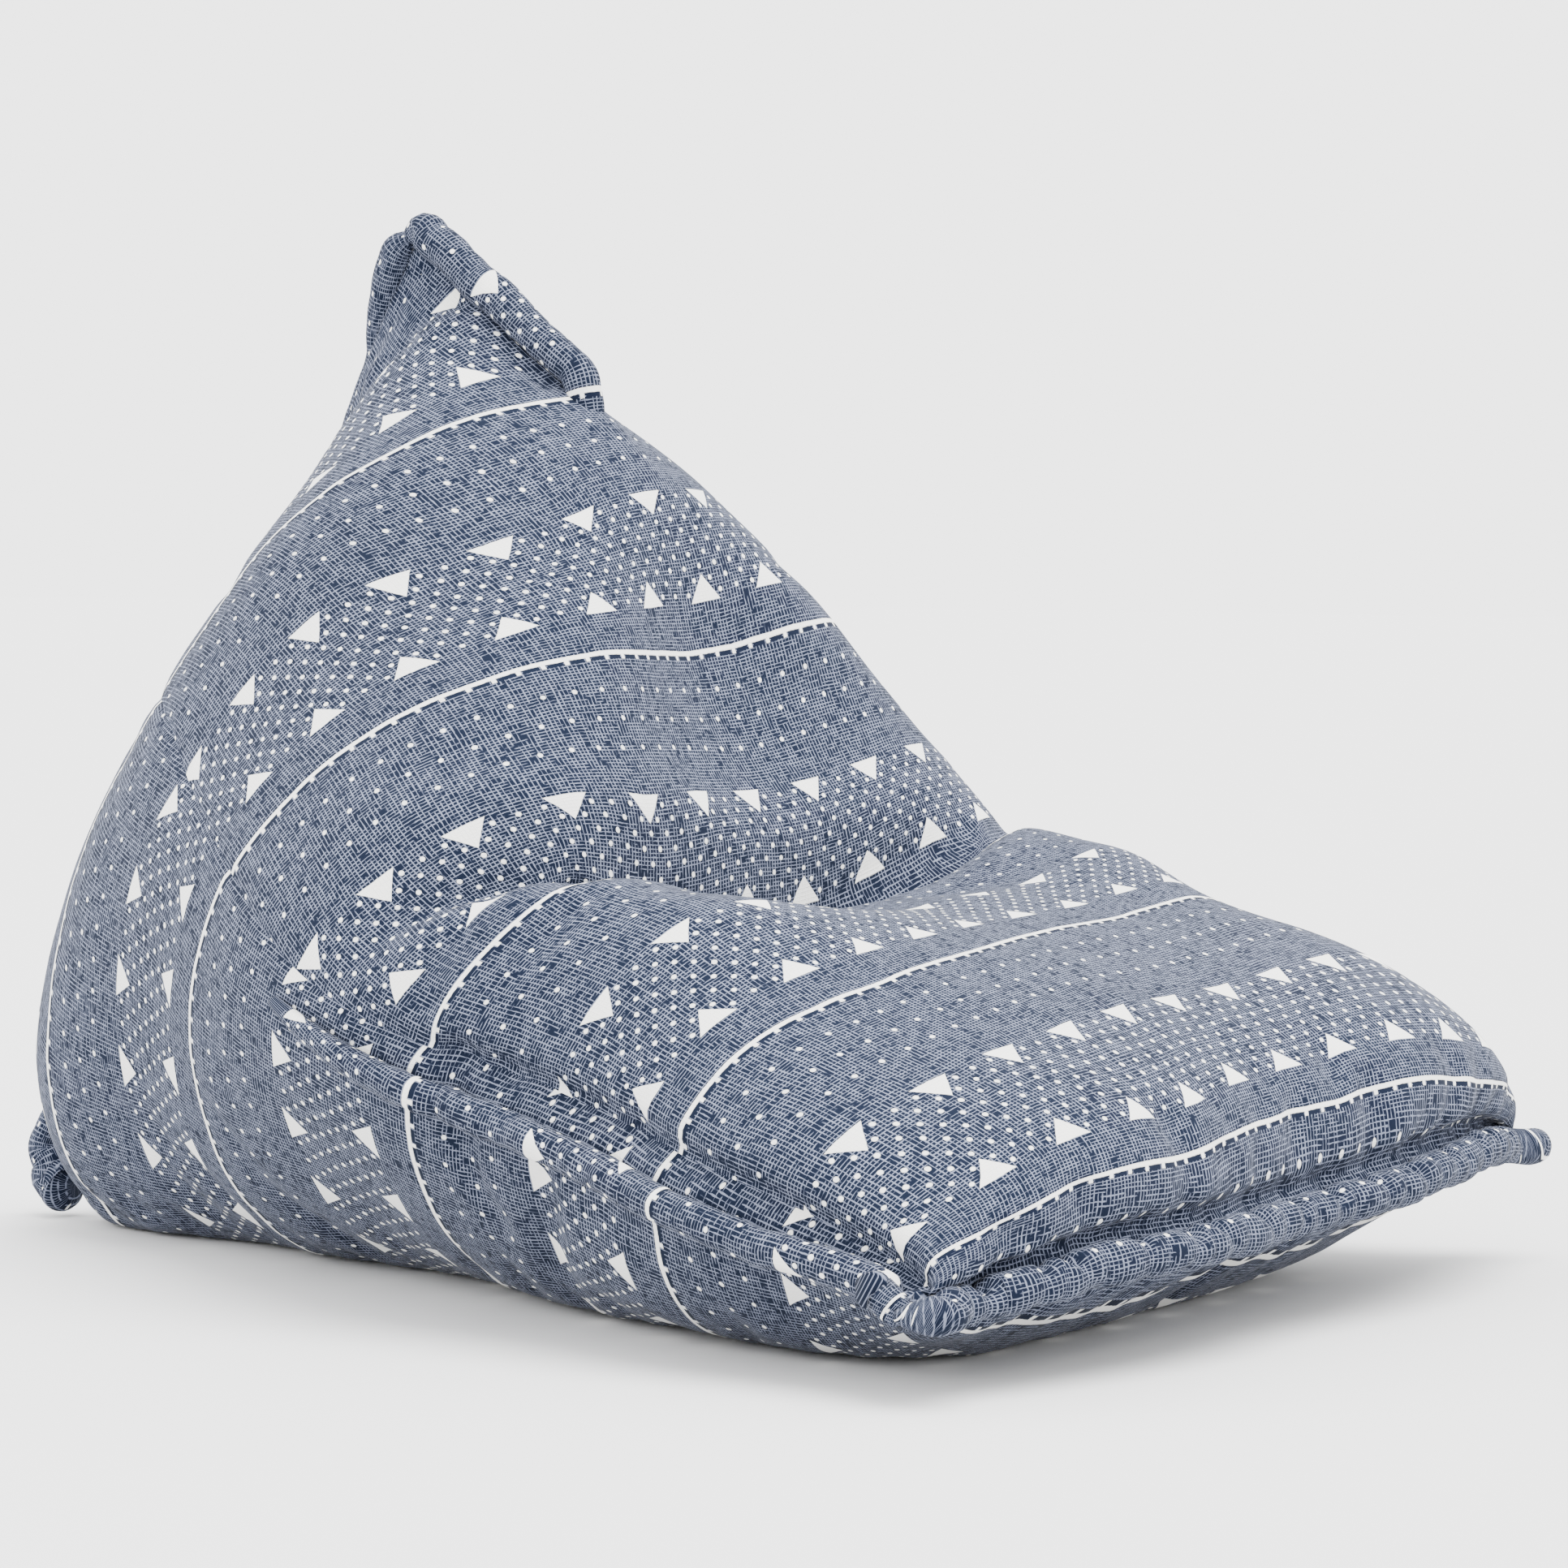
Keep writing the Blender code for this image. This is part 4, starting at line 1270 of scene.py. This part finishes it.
class POUF_OT_stage(Operator):
    """Set the floor, the light and the camera"""
    bl_idname = "pouf.stage"
    bl_label = "Stage"

    def execute(self, context):
        stage = context.scene.pouf.stage
        bpy.ops.object.select_all(action="DESELECT")
        bpy.ops.mesh.primitive_plane_add(size=FLOOR_SIZE, location=(0.0, 0.0, FLOOR_Z))
        floor = context.object
        floor.name = "floor"
        pale = bpy.data.materials.new("floor_paint")
        pale.use_nodes = True
        shader = pale.node_tree.nodes["Principled BSDF"]
        shader.inputs["Base Color"].default_value = (*stage.floor_colour, 1.0)
        shader.inputs["Roughness"].default_value = FLOOR_ROUGHNESS
        floor.data.materials.append(pale)
        world = bpy.data.worlds.new("studio")
        context.scene.world = world
        world.use_nodes = True
        sky = world.node_tree.nodes["Background"]
        sky.inputs["Color"].default_value = (1.0, 1.0, 1.0, 1.0)
        sky.inputs["Strength"].default_value = stage.sky_strength
        key = self.light("SUN", "key", KEY_PLACE, stage.key_power)
        key.data.angle = math.radians(KEY_SPREAD)
        rim = self.light("AREA", "rim", RIM_PLACE, stage.rim_power)
        rim.data.size = RIM_SIZE
        self.camera(context, stage)
        return {"FINISHED"}

    def light(self, kind, name, place, power):
        """A soft light that looks at the pouf."""
        bpy.ops.object.light_add(type=kind, location=place)
        lamp = bpy.context.object
        lamp.name = name
        lamp.data.energy = power
        lamp.rotation_mode = "QUATERNION"
        lamp.rotation_quaternion = (Vector(LIGHT_TARGET) - Vector(place)).to_track_quat("-Z", "Y")
        return lamp

    def camera(self, context, stage):
        """The camera at the photograph's angle."""
        turn = math.radians(stage.azimuth)
        rise = math.radians(stage.elevation)
        back = Vector((math.sin(turn) * math.cos(rise), -math.cos(turn) * math.cos(rise), math.sin(rise)))
        place = Vector(stage.target) + back * stage.distance
        bpy.ops.object.camera_add(location=place)
        camera = context.object
        camera.name = "photo_camera"
        camera.rotation_mode = "QUATERNION"
        camera.rotation_quaternion = (-back).to_track_quat("-Z", "Y")
        camera.data.lens = stage.lens
        camera.data.sensor_width = SENSOR_WIDTH
        camera.data.clip_start = CLIP_START
        camera.data.clip_end = CLIP_END
        context.scene.camera = camera


class POUF_PT_panel(Panel):
    """Panel in the 3D view's sidebar"""
    bl_idname = "POUF_PT_panel"
    bl_label = "Lounger pouf"
    bl_space_type = "VIEW_3D"
    bl_region_type = "UI"
    bl_category = "Pouf"

    def draw(self, context):
        settings = context.scene.pouf
        for group in (settings.cloth, settings.filling, settings.stage):
            box = self.layout.box()
            for name in group.__annotations__:
                box.prop(group, name)
        for name in STEPS:
            self.layout.operator(name)


STEPS = ("pouf.bag", "pouf.front_roll", "pouf.side_rolls", "pouf.back_rolls", "pouf.stage")
CLASSES = (
    PoufCloth, PoufFilling, PoufStage, PoufSettings, POUF_OT_bag, POUF_OT_front_roll, POUF_OT_side_rolls,
    POUF_OT_back_rolls, POUF_OT_stage, POUF_PT_panel)


def register():
    """Adds the classes and the settings."""
    for item in CLASSES:
        bpy.utils.register_class(item)
    bpy.types.Scene.pouf = PointerProperty(type=PoufSettings)


def unregister():
    """Takes them away again."""
    del bpy.types.Scene.pouf
    for item in reversed(CLASSES):
        bpy.utils.unregister_class(item)


def main():
    """Builds everything in order."""
    register()
    for name in STEPS:
        group, step = name.split(".")
        getattr(getattr(bpy.ops, group), step)()


if __name__ == "__main__":
    main()
